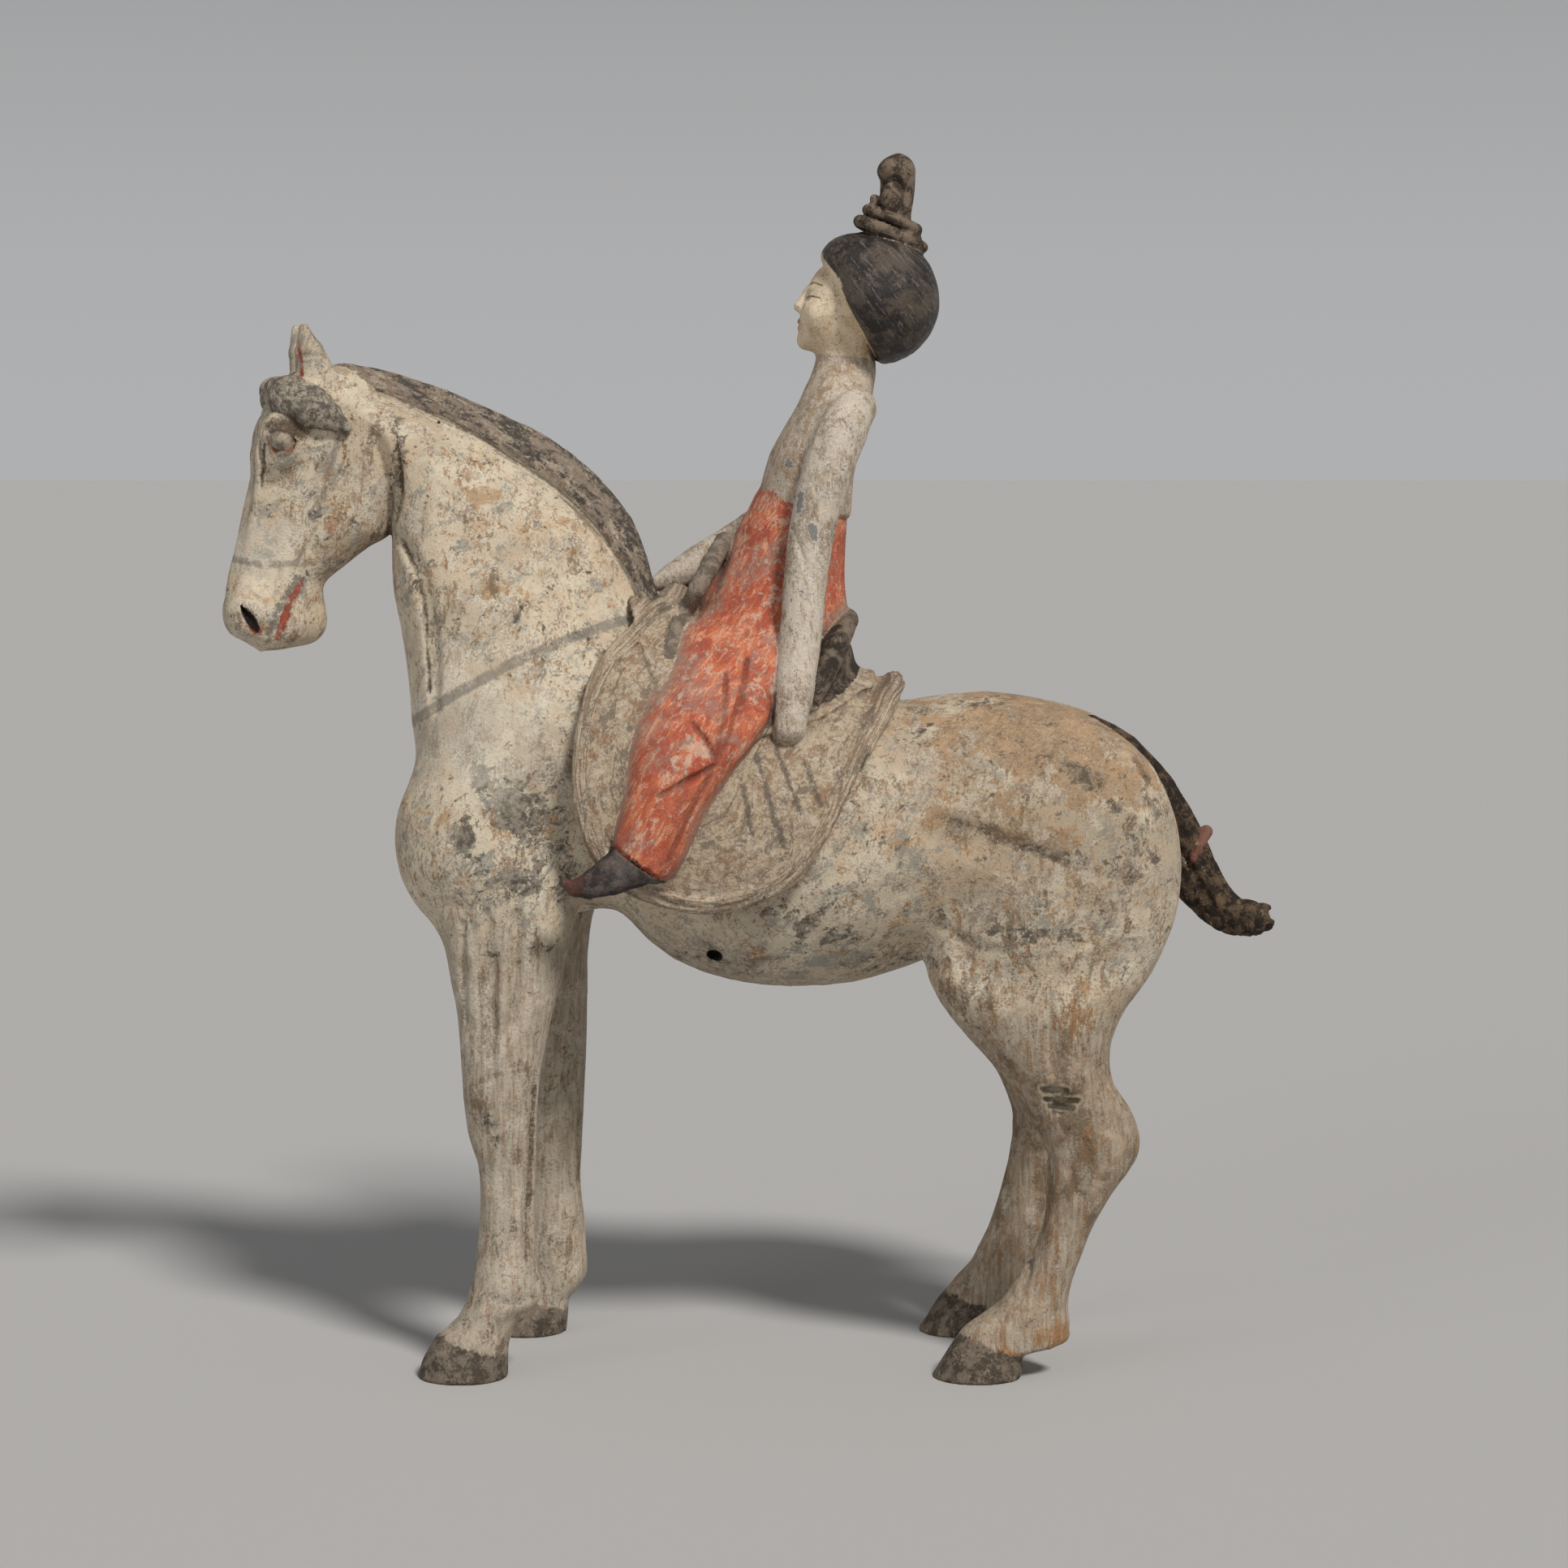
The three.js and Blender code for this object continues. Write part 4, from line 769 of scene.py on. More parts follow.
def topknot():
    knot = Sculpture()
    knot.add(ellipsoid((57, 0, 459), (13, 12, 6)), 1)
    knot.add(coil(57.2, 461.2, 12.6, 11.2, 2.7), 0.6)
    knot.add(coil(57.8, 467, 9.8, 8.6, 2.5), 0.6)
    knot.add(smooth_rope(STEM), 1)
    knot.add(rope([(51.5, 0, 469, 2.4), (50.6, 0, 475.4, 2)]), 0.8)
    knot.add(ellipsoid((58.6, 0, 486.5), (7, 8.2, 5.6)), 1)
    for side in SIDES:
        knot.add(ellipsoid((57, side * 6, 475.5), (3.8, 2.8, 6)), 0.6)
        knot.groove(LOOP_FURROW, side, 1.6, 0.5)
        knot.groove(REAR_FURROW, side, 1.2, 0.5)
    return knot


LEFT_ARM = [
    (43, -23, 391, 8), (37, -28, 382, 10.5), (30, -33, 362, 10), (24, -35.5, 335, 9),
    (20.5, -41, 300, 8.5), (17.8, -48, 278, 7.8), (16.2, -51.5, 265, 6.6),
]
RIGHT_ARM = [
    (43, 23, 391, 8), (37, 29, 382, 10.5), (26, 34, 364, 10), (12, 34, 348, 9),
    (-6, 31, 336, 8), (-20, 26.5, 328.5, 7.5), (-31, 22, 322.5, 5.8), (-38, 18.5, 319.5, 3.6),
]
BOOT = [
    (-42, 63, 212, 7.8), (-54, 65.3, 207.6, 7.8), (-63, 66.6, 203.6, 5.2), (-68.6, 67.6, 202.8, 3.3),
    (-71.4, 68, 204.6, 2.1),
]
CUFF = ((-44, 213), (-0.574, -0.82))
KNEE_FOLDS = [
    [(-12.5, 254, 0.8), (-17, 261.5, 1.9), (-21.5, 268, 0.8)],
    [(-12, 255, 0.8), (-9.5, 272, 2), (-9, 286, 0.8)],
    [(-11, 255, 0.8), (-3.5, 275, 1.9), (-0.5, 292, 0.8)],
    [(-12.5, 252, 0.8), (-22, 246.5, 2), (-35, 240, 0.8)],
    [(-14, 250, 0.8), (-24, 231, 1.8), (-31, 214, 0.8)],
]
CUFF_FOLD = [(-54, 220.5, 0.6), (-44, 213.5, 1), (-34, 206.5, 0.6)]
SLEEVE_FOLD = [(16.5, 345.5, 0.5), (21.4, 332, 1.1), (26.3, 321.5, 0.5)]


def build_bodice():
    bodice = Sculpture()
    bodice.add(upright(BODICE), 1)
    bodice.meet(behind((-0.26, 0, -0.96), (3.7, 0, 356.5), (-10, -40, 335), (60, 40, 440)), 1)
    return bodice


def build_rider(horse):
    rider = Sculpture()
    saddle = build_saddle()
    rider.add(saddle, 1, "saddle")
    rider.zones.update({name: saddle.zones[name] for name in ("cantle", "pommel")})
    rider.add(upright(SKIRT), 2, "skirt")
    for side in SIDES:
        rider.add(upright(TROUSER_LEG, side=side), 5, "skirt")
        rider.add(rope(sided(BOOT, side)), 1, "boot")
        for fold in KNEE_FOLDS + [CUFF_FOLD]:
            rider.groove(fold, side, 2.2, 0.5)
    rider.add(build_bodice(), 0.8, "bodice")
    for arm in (LEFT_ARM, RIGHT_ARM):
        rider.add(smooth_rope(arm, 24), 2, "sleeve")
    rider.groove(SLEEVE_FOLD, -1, 0.8, 0.6)
    rider.add(placed(rider_face(), into_rider_head, (12, -24, 404), (66, 24, 456)), 3, "face")
    rider.add(rider_hair(), 0.8, "hair")
    rider.add(topknot(), 1.2, "topknot")
    clear = Shape(lambda x, y, z: horse.distance(x, y, z) - SEAT_GAP, horse.low, horse.high)
    rider.cut(clear, 0.4)
    return rider


# Meshes

def near_surface(sculpture, cell):
    """Whole-number places of the grid cells that the surface can pass through. The search starts with
    coarse blocks of cells and halves those that may hold a part of it."""
    low = sculpture.low - 3 * cell
    size = sculpture.high + 3 * cell - low
    step = COARSE_BLOCK
    counts = np.ceil(size / (cell * step)).astype(int)
    cells = np.stack(np.meshgrid(*(np.arange(n) for n in counts), indexing="ij"), -1).reshape(-1, 3)
    while True:
        centre = low + (cells + 0.5) * cell * step
        d = sculpture.distance(*centre.T.copy())
        cells = cells[np.abs(d) < HALF_DIAGONAL * cell * step * STEEPEST]
        if step == 1:
            return low, cells
        cells = (cells[:, None] * 2 + CORNERS[:, ::-1]).reshape(-1, 3)
        step //= 2


def cell_key(cells):
    return (cells[..., 0] * KEY_BASE + cells[..., 1]) * KEY_BASE + cells[..., 2]


def cell_of_key(key):
    return np.stack((key // KEY_BASE // KEY_BASE, key // KEY_BASE % KEY_BASE, key % KEY_BASE), 1)


def corner_values(sculpture, low, cell, cells):
    """Distances at the eight corners of each cell."""
    keys, inverse = np.unique(cell_key(cells[:, None] + CORNERS), return_inverse=True)
    return sculpture.distance(*(low + cell_of_key(keys) * cell).T.copy())[inverse].reshape(-1, 8)


def cells_of_surface(sculpture, cell):
    """The cells that the surface passes through, none left out, and the distances at their corners."""
    low, fresh = near_surface(sculpture, cell)
    low, fresh = low - cell, fresh + 1
    known = np.sort(cell_key(fresh))
    found_cells, found_values = [], []
    while len(fresh):
        value = corner_values(sculpture, low, cell, fresh)
        inside = value < 0
        active = inside.any(1) & ~inside.all(1)
        found_cells.append(fresh[active])
        found_values.append(value[active])
        beyond = []
        for axis in range(3):
            for end in (0, 1):
                face = inside[:, CORNERS[:, axis] == end]
                crossed = face.any(1) & ~face.all(1)
                beyond.append(fresh[crossed] + (2 * end - 1) * AXES[axis])
        beyond = np.vstack(beyond)
        keys, first = np.unique(cell_key(beyond), return_index=True)
        fresh = beyond[first[~np.isin(keys, known)]]
        known = np.union1d(known, keys)
    return low, np.vstack(found_cells), np.vstack(found_values)


def crossings(cells, value):
    """Mean place, in cells, at which the surface crosses the edges of each cell."""
    total = np.zeros((len(cells), 3))
    count = np.zeros(len(cells))
    for a, axis in itertools.product(range(8), range(3)):
        b = a | (1 << axis)
        if a == b:
            continue
        va, vb = value[:, a], value[:, b]
        crossed = (va < 0) != (vb < 0)
        share = np.where(crossed, va / np.where(crossed, va - vb, 1), 0)
        total += (CORNERS[a] + share[:, None] * (CORNERS[b] - CORNERS[a])) * crossed[:, None]
        count += crossed
    return cells + total / count[:, None]


def trace(sculpture, cell):
    """Vertices and four-sided faces of the surface: one vertex in each cell that it passes through."""
    low, cells, value = cells_of_surface(sculpture, cell)
    points = low + crossings(cells, value) * cell
    keys = cell_key(cells)
    order = np.argsort(keys)
    sorted_keys = keys[order]
    quads = []
    for axis in range(3):
        first, second = AXES[(axis + 1) % 3], AXES[(axis + 2) % 3]
        inside = value[:, 0] < 0
        crossed = inside != (value[:, 1 << axis] < 0)
        here = cells[crossed]
        around = [here, here - first, here - first - second, here - second]
        quad = np.stack([order[np.searchsorted(sorted_keys, cell_key(c))] for c in around], 1)
        quad[~inside[crossed]] = quad[~inside[crossed]][:, ::-1]
        quads.append(quad)
    return points, np.vstack(quads)


def slope(sculpture, points, h=0.4):
    """Direction in which the distance grows."""
    steps = np.array([(1, -1, -1), (-1, -1, 1), (-1, 1, -1), (1, 1, 1)]) * h
    around = [sculpture.distance(*(points + s).T.copy()) for s in steps]
    return sum(d[:, None] * s for d, s in zip(around, steps)) / (4 * h * h)


def settle(sculpture, points, cell):
    """Moves the points onto the surface."""
    for _ in range(2):
        g = slope(sculpture, points)
        d = sculpture.distance(*points.T.copy())
        move = g * (d / np.maximum((g * g).sum(1), 0.2))[:, None]
        points = points - np.clip(move, -cell / 2, cell / 2)
    return points


class Noise:
    """A smooth random field from a seeded lattice, from -1 to 1."""

    def __init__(self, seed):
        self.value = np.random.default_rng(seed).uniform(-1, 1, (LATTICE, LATTICE, LATTICE))

    def at(self, p, size, stretch=(1, 1, 1)):
        q = p / (size * np.array(stretch, float)) + LATTICE_SHIFT
        i = np.floor(q).astype(int)
        f = q - i
        fx, fy, fz = (f * f * (3 - 2 * f)).T
        i %= LATTICE
        j = (i + 1) % LATTICE
        v = self.value

        def along_x(b, c):
            """Value between two lattice points, at the end b in Y and c in Z."""
            return v[i[:, 0], b[:, 1], c[:, 2]] * (1 - fx) + v[j[:, 0], b[:, 1], c[:, 2]] * fx

        near = along_x(i, i) * (1 - fy) + along_x(j, i) * fy
        far = along_x(i, j) * (1 - fy) + along_x(j, j) * fy
        return near * (1 - fz) + far * fz

    def layered(self, p, size, layers):
        """Layers of the field, each half as coarse and a little weaker than the one before."""
        total, weight, norm = 0, 1.0, 0
        for n in range(layers):
            total = total + weight * self.at(p + LAYER_SHIFT * n, size / 2**n)
            norm += weight
            weight *= LAYER_WEIGHT
        return total / norm


def make_mesh(name, points, quads):
    mesh = bpy.data.meshes.new(name)
    mesh.vertices.add(len(points))
    mesh.vertices.foreach_set("co", points.astype(np.float32).ravel())
    mesh.loops.add(quads.size)
    mesh.loops.foreach_set("vertex_index", quads.astype(np.int32).ravel())
    mesh.polygons.add(len(quads))
    mesh.polygons.foreach_set("loop_start", np.arange(0, quads.size, 4, dtype=np.int32))
    mesh.polygons.foreach_set("loop_total", np.full(len(quads), 4, np.int32))
    mesh.update(calc_edges=True)
    thing = bpy.data.objects.new(name, mesh)
    bpy.context.scene.collection.objects.link(thing)
    return thing


def thin_out(thing):
    """Thins a mesh of four-sided faces to the most triangles allowed."""
    triangles = 2 * len(thing.data.polygons)
    if triangles <= MOST_TRIANGLES:
        return
    thin = thing.modifiers.new("thin", "DECIMATE")
    thin.ratio = MOST_TRIANGLES / triangles
    bpy.context.view_layer.update()
    evaluated = thing.evaluated_get(bpy.context.evaluated_depsgraph_get())
    mesh = bpy.data.meshes.new_from_object(evaluated)
    thing.modifiers.clear()
    old = thing.data
    thing.data = mesh
    bpy.data.meshes.remove(old)


class Skin:
    """Points on the surface of a sculpture, and the directions straight out of it."""

    def __init__(self, sculpture, points):
        self.sculpture = sculpture
        self.points = points
        g = slope(sculpture, points)
        self.normal = g / np.maximum(np.linalg.norm(g, axis=1), 1e-6)[:, None]

    def zone(self, name):
        """Distance to the nearest form of a zone."""
        d = np.full(len(self.points), FAR)
        for shape in self.sculpture.zones[name]:
            low, high = shape.low - BOX_MARGIN, shape.high + BOX_MARGIN
            near = ((self.points > low) & (self.points < high)).all(1)
            if near.any():
                d[near] = np.minimum(d[near], shape.distance(*self.points[near].T))
        return d

    def cavity(self):
        """How much the surface closes in around each point."""
        total = np.zeros(len(self.points))
        for reach in CAVITY_REACHES:
            d = self.sculpture.distance(*(self.points + self.normal * reach).T.copy())
            total += np.clip((reach - d) / reach, 0, 1.5) / len(CAVITY_REACHES)
        return total


def sculpted(name, sculpture, cell, relief):
    """The sculpture as a fine mesh: traced, thinned, and raised by its relief."""
    points, quads = trace(sculpture, cell)
    thing = make_mesh(name, settle(sculpture, points, cell), quads)
    thin_out(thing)
    mesh = thing.data
    mesh.name = name
    co = np.empty(len(mesh.vertices) * 3, np.float32)
    mesh.vertices.foreach_get("co", co)
    skin = Skin(sculpture, co.reshape(-1, 3).astype(float))
    raised = skin.points + skin.normal * relief(skin)[:, None]
    place = np.clip((raised - (CENTRE_X, 0, 0)) * MILLIMETRE, *cad_box)
    mesh.vertices.foreach_set("co", place.astype(np.float32).ravel())
    mesh.polygons.foreach_set("use_smooth", np.ones(len(mesh.polygons), bool))
    mesh.update()
    return thing, skin


def keep_zones(thing, zones):
    """Keeps a value for each point under each name, for the paint."""
    for name, values in zones.items():
        attribute = thing.data.attributes.new(name, "FLOAT", "POINT")
        attribute.data.foreach_set("value", np.asarray(values, np.float32))


# Materials

NOISE_SPREADS = ((5, 0.068), (8, 0.052), (99, 0.045))
SEED_STEP = (73.1, 37.7, 51.3)


def colour(code):
    """A colour of the screen, as #rrggbb, in linear light."""
    parts = [int(code[i : i + 2], 16) / 255 for i in (1, 3, 5)]
    return tuple(c / 12.92 if c <= 0.04045 else ((c + 0.055) / 1.055) ** 2.4 for c in parts) + (1.0,)


class Paint:
    """Builds a material from masks and colours laid over each other. A mask's value is one socket, or a
    list of pairs of a socket and its weight."""

    def __init__(self, name):
        self.material = bpy.data.materials.new(name)
        self.material.use_nodes = True
        self.tree = self.material.node_tree
        self.shader = self.tree.nodes["Principled BSDF"]
        self.shader.inputs["Specular IOR Level"].default_value = 0.3
        where = self.tree.nodes.new("ShaderNodeTexCoord")
        scale = self.tree.nodes.new("ShaderNodeVectorMath")
        scale.operation = "SCALE"
        scale.inputs["Scale"].default_value = 1 / MILLIMETRE
        self.tree.links.new(where.outputs["Object"], scale.inputs[0])
        self.place = scale.outputs[0]

    def feed(self, node, name, value):
        socket = node.inputs[name]
        if isinstance(value, bpy.types.NodeSocket):
            self.tree.links.new(value, socket)
        elif isinstance(value, str):
            socket.default_value = colour(value)
        else:
            socket.default_value = value

    def noise(self, size, detail=5, rough=0.6, twist=0.0, stretch=(1, 1, 1), lean=0.0, seed=0, where=None):
        """Noise about 0, nearly all of it between -2 and 2. Lean turns a stretch along X up towards Z."""
        mapping = self.tree.nodes.new("ShaderNodeMapping")
        mapping.vector_type = "TEXTURE"
        self.feed(mapping, "Vector", self.place if where is None else where)
        self.feed(mapping, "Scale", tuple(size * s for s in stretch))
        self.feed(mapping, "Rotation", (0, -math.radians(lean), 0))
        self.feed(mapping, "Location", tuple(seed * s for s in SEED_STEP))
        node = self.tree.nodes.new("ShaderNodeTexNoise")
        self.feed(node, "Vector", mapping.outputs[0])
        self.feed(node, "Scale", 1.0)
        self.feed(node, "Detail", detail)
        self.feed(node, "Roughness", rough)
        self.feed(node, "Distortion", twist)
        spread = next(spread for most, spread in NOISE_SPREADS if detail < most)
        return self.math("MULTIPLY_ADD", node.outputs[0], 1 / spread, -0.5 / spread)

    def attribute(self, name):
        node = self.tree.nodes.new("ShaderNodeAttribute")
        node.attribute_name = name
        return node.outputs["Fac"]

    def flow(self, across, along):
        """A place made of two attributes, for noise that follows an edge."""
        node = self.tree.nodes.new("ShaderNodeCombineXYZ")
        self.feed(node, 0, self.attribute(across))
        self.feed(node, 1, self.attribute(along))
        return node.outputs[0]

    def vector(self, kind, a, b):
        node = self.tree.nodes.new("ShaderNodeVectorMath")
        node.operation = kind
        self.feed(node, 0, a)
        self.feed(node, 1, b)
        return node.outputs["Value" if kind in ("DOT_PRODUCT", "DISTANCE") else "Vector"]

    def stroke(self, start, end):
        """Distance in a side view to a straight stroke from x, z to x, z."""
        a = Vector((start[0] - CENTRE_X, 0, start[1]))
        along = Vector((end[0] - CENTRE_X, 0, end[1])) - a
        flat = self.vector("MULTIPLY", self.place, (1, 0, 1))
        out = self.vector("SUBTRACT", flat, a)
        share = self.vector("DOT_PRODUCT", out, along / along.length_squared)
        share = self.math("MINIMUM", self.math("MAXIMUM", share, 0.0), 1.0)
        foot = self.vector("MULTIPLY", self.vector("ADD", share, (0, 0, 0)), along)
        return self.vector("DISTANCE", out, foot)

    def nearest(self, strokes):
        """Distance to the nearest of some strokes."""
        result = FAR
        for start, end in strokes:
            result = self.math("MINIMUM", self.stroke(start, end), result)
        return result

    def math(self, kind, a, b=0.0, c=0.0):
        node = self.tree.nodes.new("ShaderNodeMath")
        node.operation = kind
        self.feed(node, 0, a)
        if kind != "ABSOLUTE":
            self.feed(node, 1, b)
        if kind == "MULTIPLY_ADD":
            self.feed(node, 2, c)
        return node.outputs[0]

    def times(self, a, b):
        return self.math("MULTIPLY", a, b)

    def between(self, share, a, b):
        return self.math("MULTIPLY_ADD", share, b - a, a)

    def total(self, parts):
        """Sum of values, each with its weight. A lone value stays as it is."""
        if not isinstance(parts, list):
            return parts
        result = 0.0
        for value, weight in parts:
            result = self.math("MULTIPLY_ADD", value, weight, result)
        return result

    def band(self, value, low, high):
        """0 below low and 1 above high, or the other way round where low is the greater."""
        node = self.tree.nodes.new("ShaderNodeMapRange")
        node.interpolation_type = "SMOOTHSTEP"
        flipped = low > high
        self.feed(node, "Value", self.total(value))
        self.feed(node, "From Min", min(low, high))
        self.feed(node, "From Max", max(low, high))
        self.feed(node, "To Min", 1.0 if flipped else 0.0)
        self.feed(node, "To Max", 0.0 if flipped else 1.0)
        return node.outputs["Result"]

    def mix(self, share, a, b):
        node = self.tree.nodes.new("ShaderNodeMix")
        node.data_type = "RGBA"
        self.feed(node, 0, share)
        self.feed(node, 6, a)
        self.feed(node, 7, b)
        return node.outputs[2]

    def blend(self, value, low, high, first, second):
        """From the first colour to the second as the value passes from low to high."""
        return self.mix(self.band(value, low, high), first, second)

    def laid(self, base, value, low, high, share, coat):
        """A coat laid over the base where the value passes from low to high."""
        return self.mix(self.times(self.band(value, low, high), share), base, coat)

    def bump(self, height, distance, under=None):
        node = self.tree.nodes.new("ShaderNodeBump")
        self.feed(node, "Height", self.total(height))
        self.feed(node, "Distance", distance * MILLIMETRE)
        self.feed(node, "Strength", 1.0)
        if under is not None:
            self.feed(node, "Normal", under)
        return node.outputs[0]

    def finish(self, base, roughness, normal):
        self.feed(self.shader, "Base Color", base)
        self.feed(self.shader, "Roughness", roughness)
        self.feed(self.shader, "Normal", normal)
        return self.material


# The horse's paint

def bare_slip(m):
    """Cream slip in broad clouds, with ochre, pale and grey veils; the grey veils also lay painted shade
    under the belly, on the legs and on the head.
    """
    base = m.blend([(m.cloudy, 1), (m.mottle, 0.2)], -1.2, 1.2, "#d3c6ae", "#bcae98")
    ochre = m.noise(22, 6, 0.66, 0.6, seed=21)
    base = m.laid(base, [(ochre, 1), (m.grain, 0.3)], -0.2, 1.8, 0.5, "#c8ac8c")
    base = m.laid(base, [(m.patchy, 1), (m.grain, 0.5)], 0.0, 1.8, 0.6, "#ddd3c0")
    haze = m.noise(8, 7, 0.68, 0.6, (1.4, 1, 1), 40, 14)
    # Grey veils, laid thicker on grey smudges and as painted shade under the belly, on the legs, the cheek
    # and the ear.
    base = m.laid(base, [(haze, 1), (m.grain, 0.6), (m.attribute("grey_and_shade"), 1.5)], 0.5, 2.8, 0.8, "#8e8d84")
    film = m.noise(14, 8, 0.7, 0.5, seed=15)
    film = [(film, 0.8), (m.earth, 3.4), (m.grain, 0.3), (m.mottle, 0.25), (m.leg, -1.2)]
    return m.laid(base, film, 1.3, 2.7, 0.76, m.blend(m.patchy, -1, 1, "#b38f69", "#a3835f"))


def leg_slip(m, base):
    """Drab legs, streaked upright and browner behind."""
    shin = m.blend([(m.streak, 1), (m.grain, 0.4)], -1.5, 1.4, "#aea392", "#8d7f6e")
    shin = m.laid(shin, [(m.patchy, 1), (m.streak, 0.5)], 0.4, 2.0, 0.5, "#c4baad")
    base = m.laid(base, [(m.leg, 1), (m.ragged, 0.08)], 0.1, 0.9, 0.74, shin)
    hind = m.attribute("hind")
    base = m.laid(base, [(hind, 1), (m.patchy, 0.2), (m.streak, 0.15)], 0.1, 1.4, 0.4, "#8b755e")
    return m.laid(base, [(m.streak, 1), (m.patchy, 0.8), (hind, 1.4)], 2.0, 3.4, 0.6, "#8f6a43")


def soil(m, base):
    """Brown earth, dark brown on the legs with painted shade under the haunch and in the flank creases,
    blotches with pale veins between them, specks and dark strokes.
    """
    # Dark brown: the legs' own darker colour, and painted shade under the haunch and in the creases of the
    # flank.
    umber_and_shade = m.noise(9, 8, 0.7, 0.4, (1, 1, 2.5), seed=19)
    umber_and_shade = [(m.attribute("umber_and_shade"), 2), (umber_and_shade, 0.8), (m.grain, 0.4)]
    base = m.laid(base, umber_and_shade, 0.7, 2.8, 0.75, "#64523d")
    blotch = [(m.mottle, 1), (m.patchy, 0.6), (m.grain, 0.5), (m.earth, 0.4)]
    blotch += [(m.attribute("stain"), 2.3), (m.leg, -0.8)]
    base = m.laid(base, blotch, 1.7, 2.7, 0.72, m.blend(m.grain, -1.4, 1.4, "#b28d69", "#92704f"))
    veins = m.total([(m.noise(3.0, 5, 0.6, 0.9, seed=16), 1), (m.grain, 0.2)])
    veins = m.band(m.math("ABSOLUTE", veins), 0.5, 0.08)
    veins = m.times(veins, m.band([(m.earth, 1), (m.patchy, 0.25)], 0.3, 0.9))
    base = m.mix(m.times(veins, 0.6), base, "#d6c8b0")
    specks = m.noise(0.9, 3, 0.6, seed=17)
    specks = [(specks, 1), (m.patchy, 0.5), (m.earth, 0.4), (m.leg, -0.5)]
    base = m.laid(base, specks, 1.4, 2.6, 0.55, "#75604a")
    strokes = m.noise(1.5, 6, 0.68, 0.5, (7, 7, 1), 60, 18)
    strokes = [(strokes, 1), (m.patchy, 0.4), (m.wear, 1.3), (m.leg, -1)]
    return m.laid(base, strokes, 2.0, 3.2, 0.6, "#6e6c63")


def lost_slip(m):
    """Where the slip has flaked off, and painted shade along the jaw and neck creases."""
    flaked = m.noise(6, 8, 0.72, 0.6, (1.6, 1, 1), 30, 5)
    return m.band([(flaked, 1), (m.ragged, 0.7), (m.wear, 3.3), (m.leg, -0.4)], 2.5, 3.7)


def tints(m, base):
    """Rusty parts, painted shade on the haunch, the hind leg, the ear and the cheek, and painted light on
    the chest, the muzzle and the foreleg.
    """
    rust = [(m.attribute("rust"), 3), (m.ragged, 0.5), (m.streak, 0.7)]
    base = m.laid(base, rust, 1.1, 3.0, 0.62, "#93642f")
    # Painted shade.
    base = m.laid(base, [(m.attribute("shade"), 1), (m.patchy, 0.12)], 0.0, 1.0, 0.3, "#6f5a42")
    # Painted light.
    return m.laid(base, [(m.attribute("pale"), 1), (m.patchy, 0.2)], 0.0, 1.0, 0.34, "#ebe2cf")


def painted_harness(m, base):
    """The faded lines of the bridle and the breast strap."""
    line = m.band([(m.attribute("harness"), 1), (m.ragged, 0.16)], 2.7, 1.5)
    left_over = m.noise(6, 7, 0.7, seed=9)
    left_over = m.band([(left_over, 1), (m.grain, 0.4), (m.attribute("bridled"), -1.2)], -3.4, -0.4)
    return m.mix(m.times(m.times(line, left_over), 0.64), base, "#6f6b63")


def mane_paint(m, base):
    """Dark hair in combed locks over a pale fringe, with painted shade in the furrow on each side of the
    fringe.
    """
    neck = m.flow("above", "along")
    sweep = m.noise(4.4, 8, 0.7, 0.7, (1, 3, 1), seed=10, where=neck)
    hair = m.blend([(sweep, 1), (m.grain, 0.45), (m.mottle, 0.5)], -1.7, 1.6, "#49433d", "#85786a")
    combed = m.noise(2.6, 8, 0.72, 0.8, (1, 3.4, 1), seed=20, where=neck)
    hair = m.laid(hair, [(combed, 1), (m.patchy, 0.7), (m.grain, 0.4)], 0.6, 2.2, 0.7, "#b0a28c")
    hair = m.laid(hair, [(m.mottle, 1), (m.patchy, 0.7)], 1.2, 2.4, 0.5, "#75574a")
    base = m.laid(base, [(m.attribute("mane"), 1), (m.ragged, 0.1)], 0.6, 0.0, 1, hair)
    threads = m.noise(0.75, 5, 0.6, 0.3, (1, 30, 1), seed=39, where=neck)
    fringe = m.blend([(threads, 1), (m.grain, 0.3)], -1.4, 1.0, "#8d7e69", "#d8cbb3")
    base = m.laid(base, [(m.attribute("fringe"), 1), (m.ragged, 0.1)], 0.6, 0.0, 1, fringe)
    # Painted shade in the furrows.
    return m.laid(base, [(m.attribute("furrow"), 1), (m.ragged, 0.14)], 1.1, 0.3, 0.7, "#4c3f32")


def forelock_paint(m, base):
    lock = m.blend([(m.mottle, 1), (m.grain, 0.6)], -1.8, 1.6, "#5f574d", "#a89d8c")
    lock = m.laid(lock, [(m.patchy, 1), (m.grain, 0.4)], 0.4, 1.8, 0.65, "#4b4742")
    return m.laid(base, [(m.attribute("forelock"), 1), (m.ragged, 0.12)], 0.6, 0.1, 1, lock)


def tail_paint(m, base):
    """Nearly black hair, tied with a red-brown cord."""
    hair = m.noise(5, 7, 0.68, 0.4, seed=11)
    hair = m.blend([(hair, 1), (m.grain, 0.4)], -1.2, 2.2, "#251c15", "#604e3b")
    base = m.laid(base, [(m.attribute("tail"), 1), (m.ragged, 0.12)], 0.7, 0.2, 1, hair)
    return m.laid(base, [(m.attribute("knot"), 1), (m.ragged, 0.12)], 0.6, 0.0, 0.9, "#6c3f32")


def hoof_paint(m, base):
    horn = m.noise(6, 8, 0.68, seed=12)
    horn = m.blend([(horn, 1), (m.grain, 0.5)], -1.8, 1.8, "#3f372d", "#73675a")
    horn = m.laid(horn, [(m.mottle, 1), (m.grain, 0.7)], 0.8, 2.8, 0.5, "#9a8d78")
    return m.laid(base, [(m.attribute("hoof"), 1), (m.ragged, 0.6)], 1.0, -1.0, 0.95, horn)


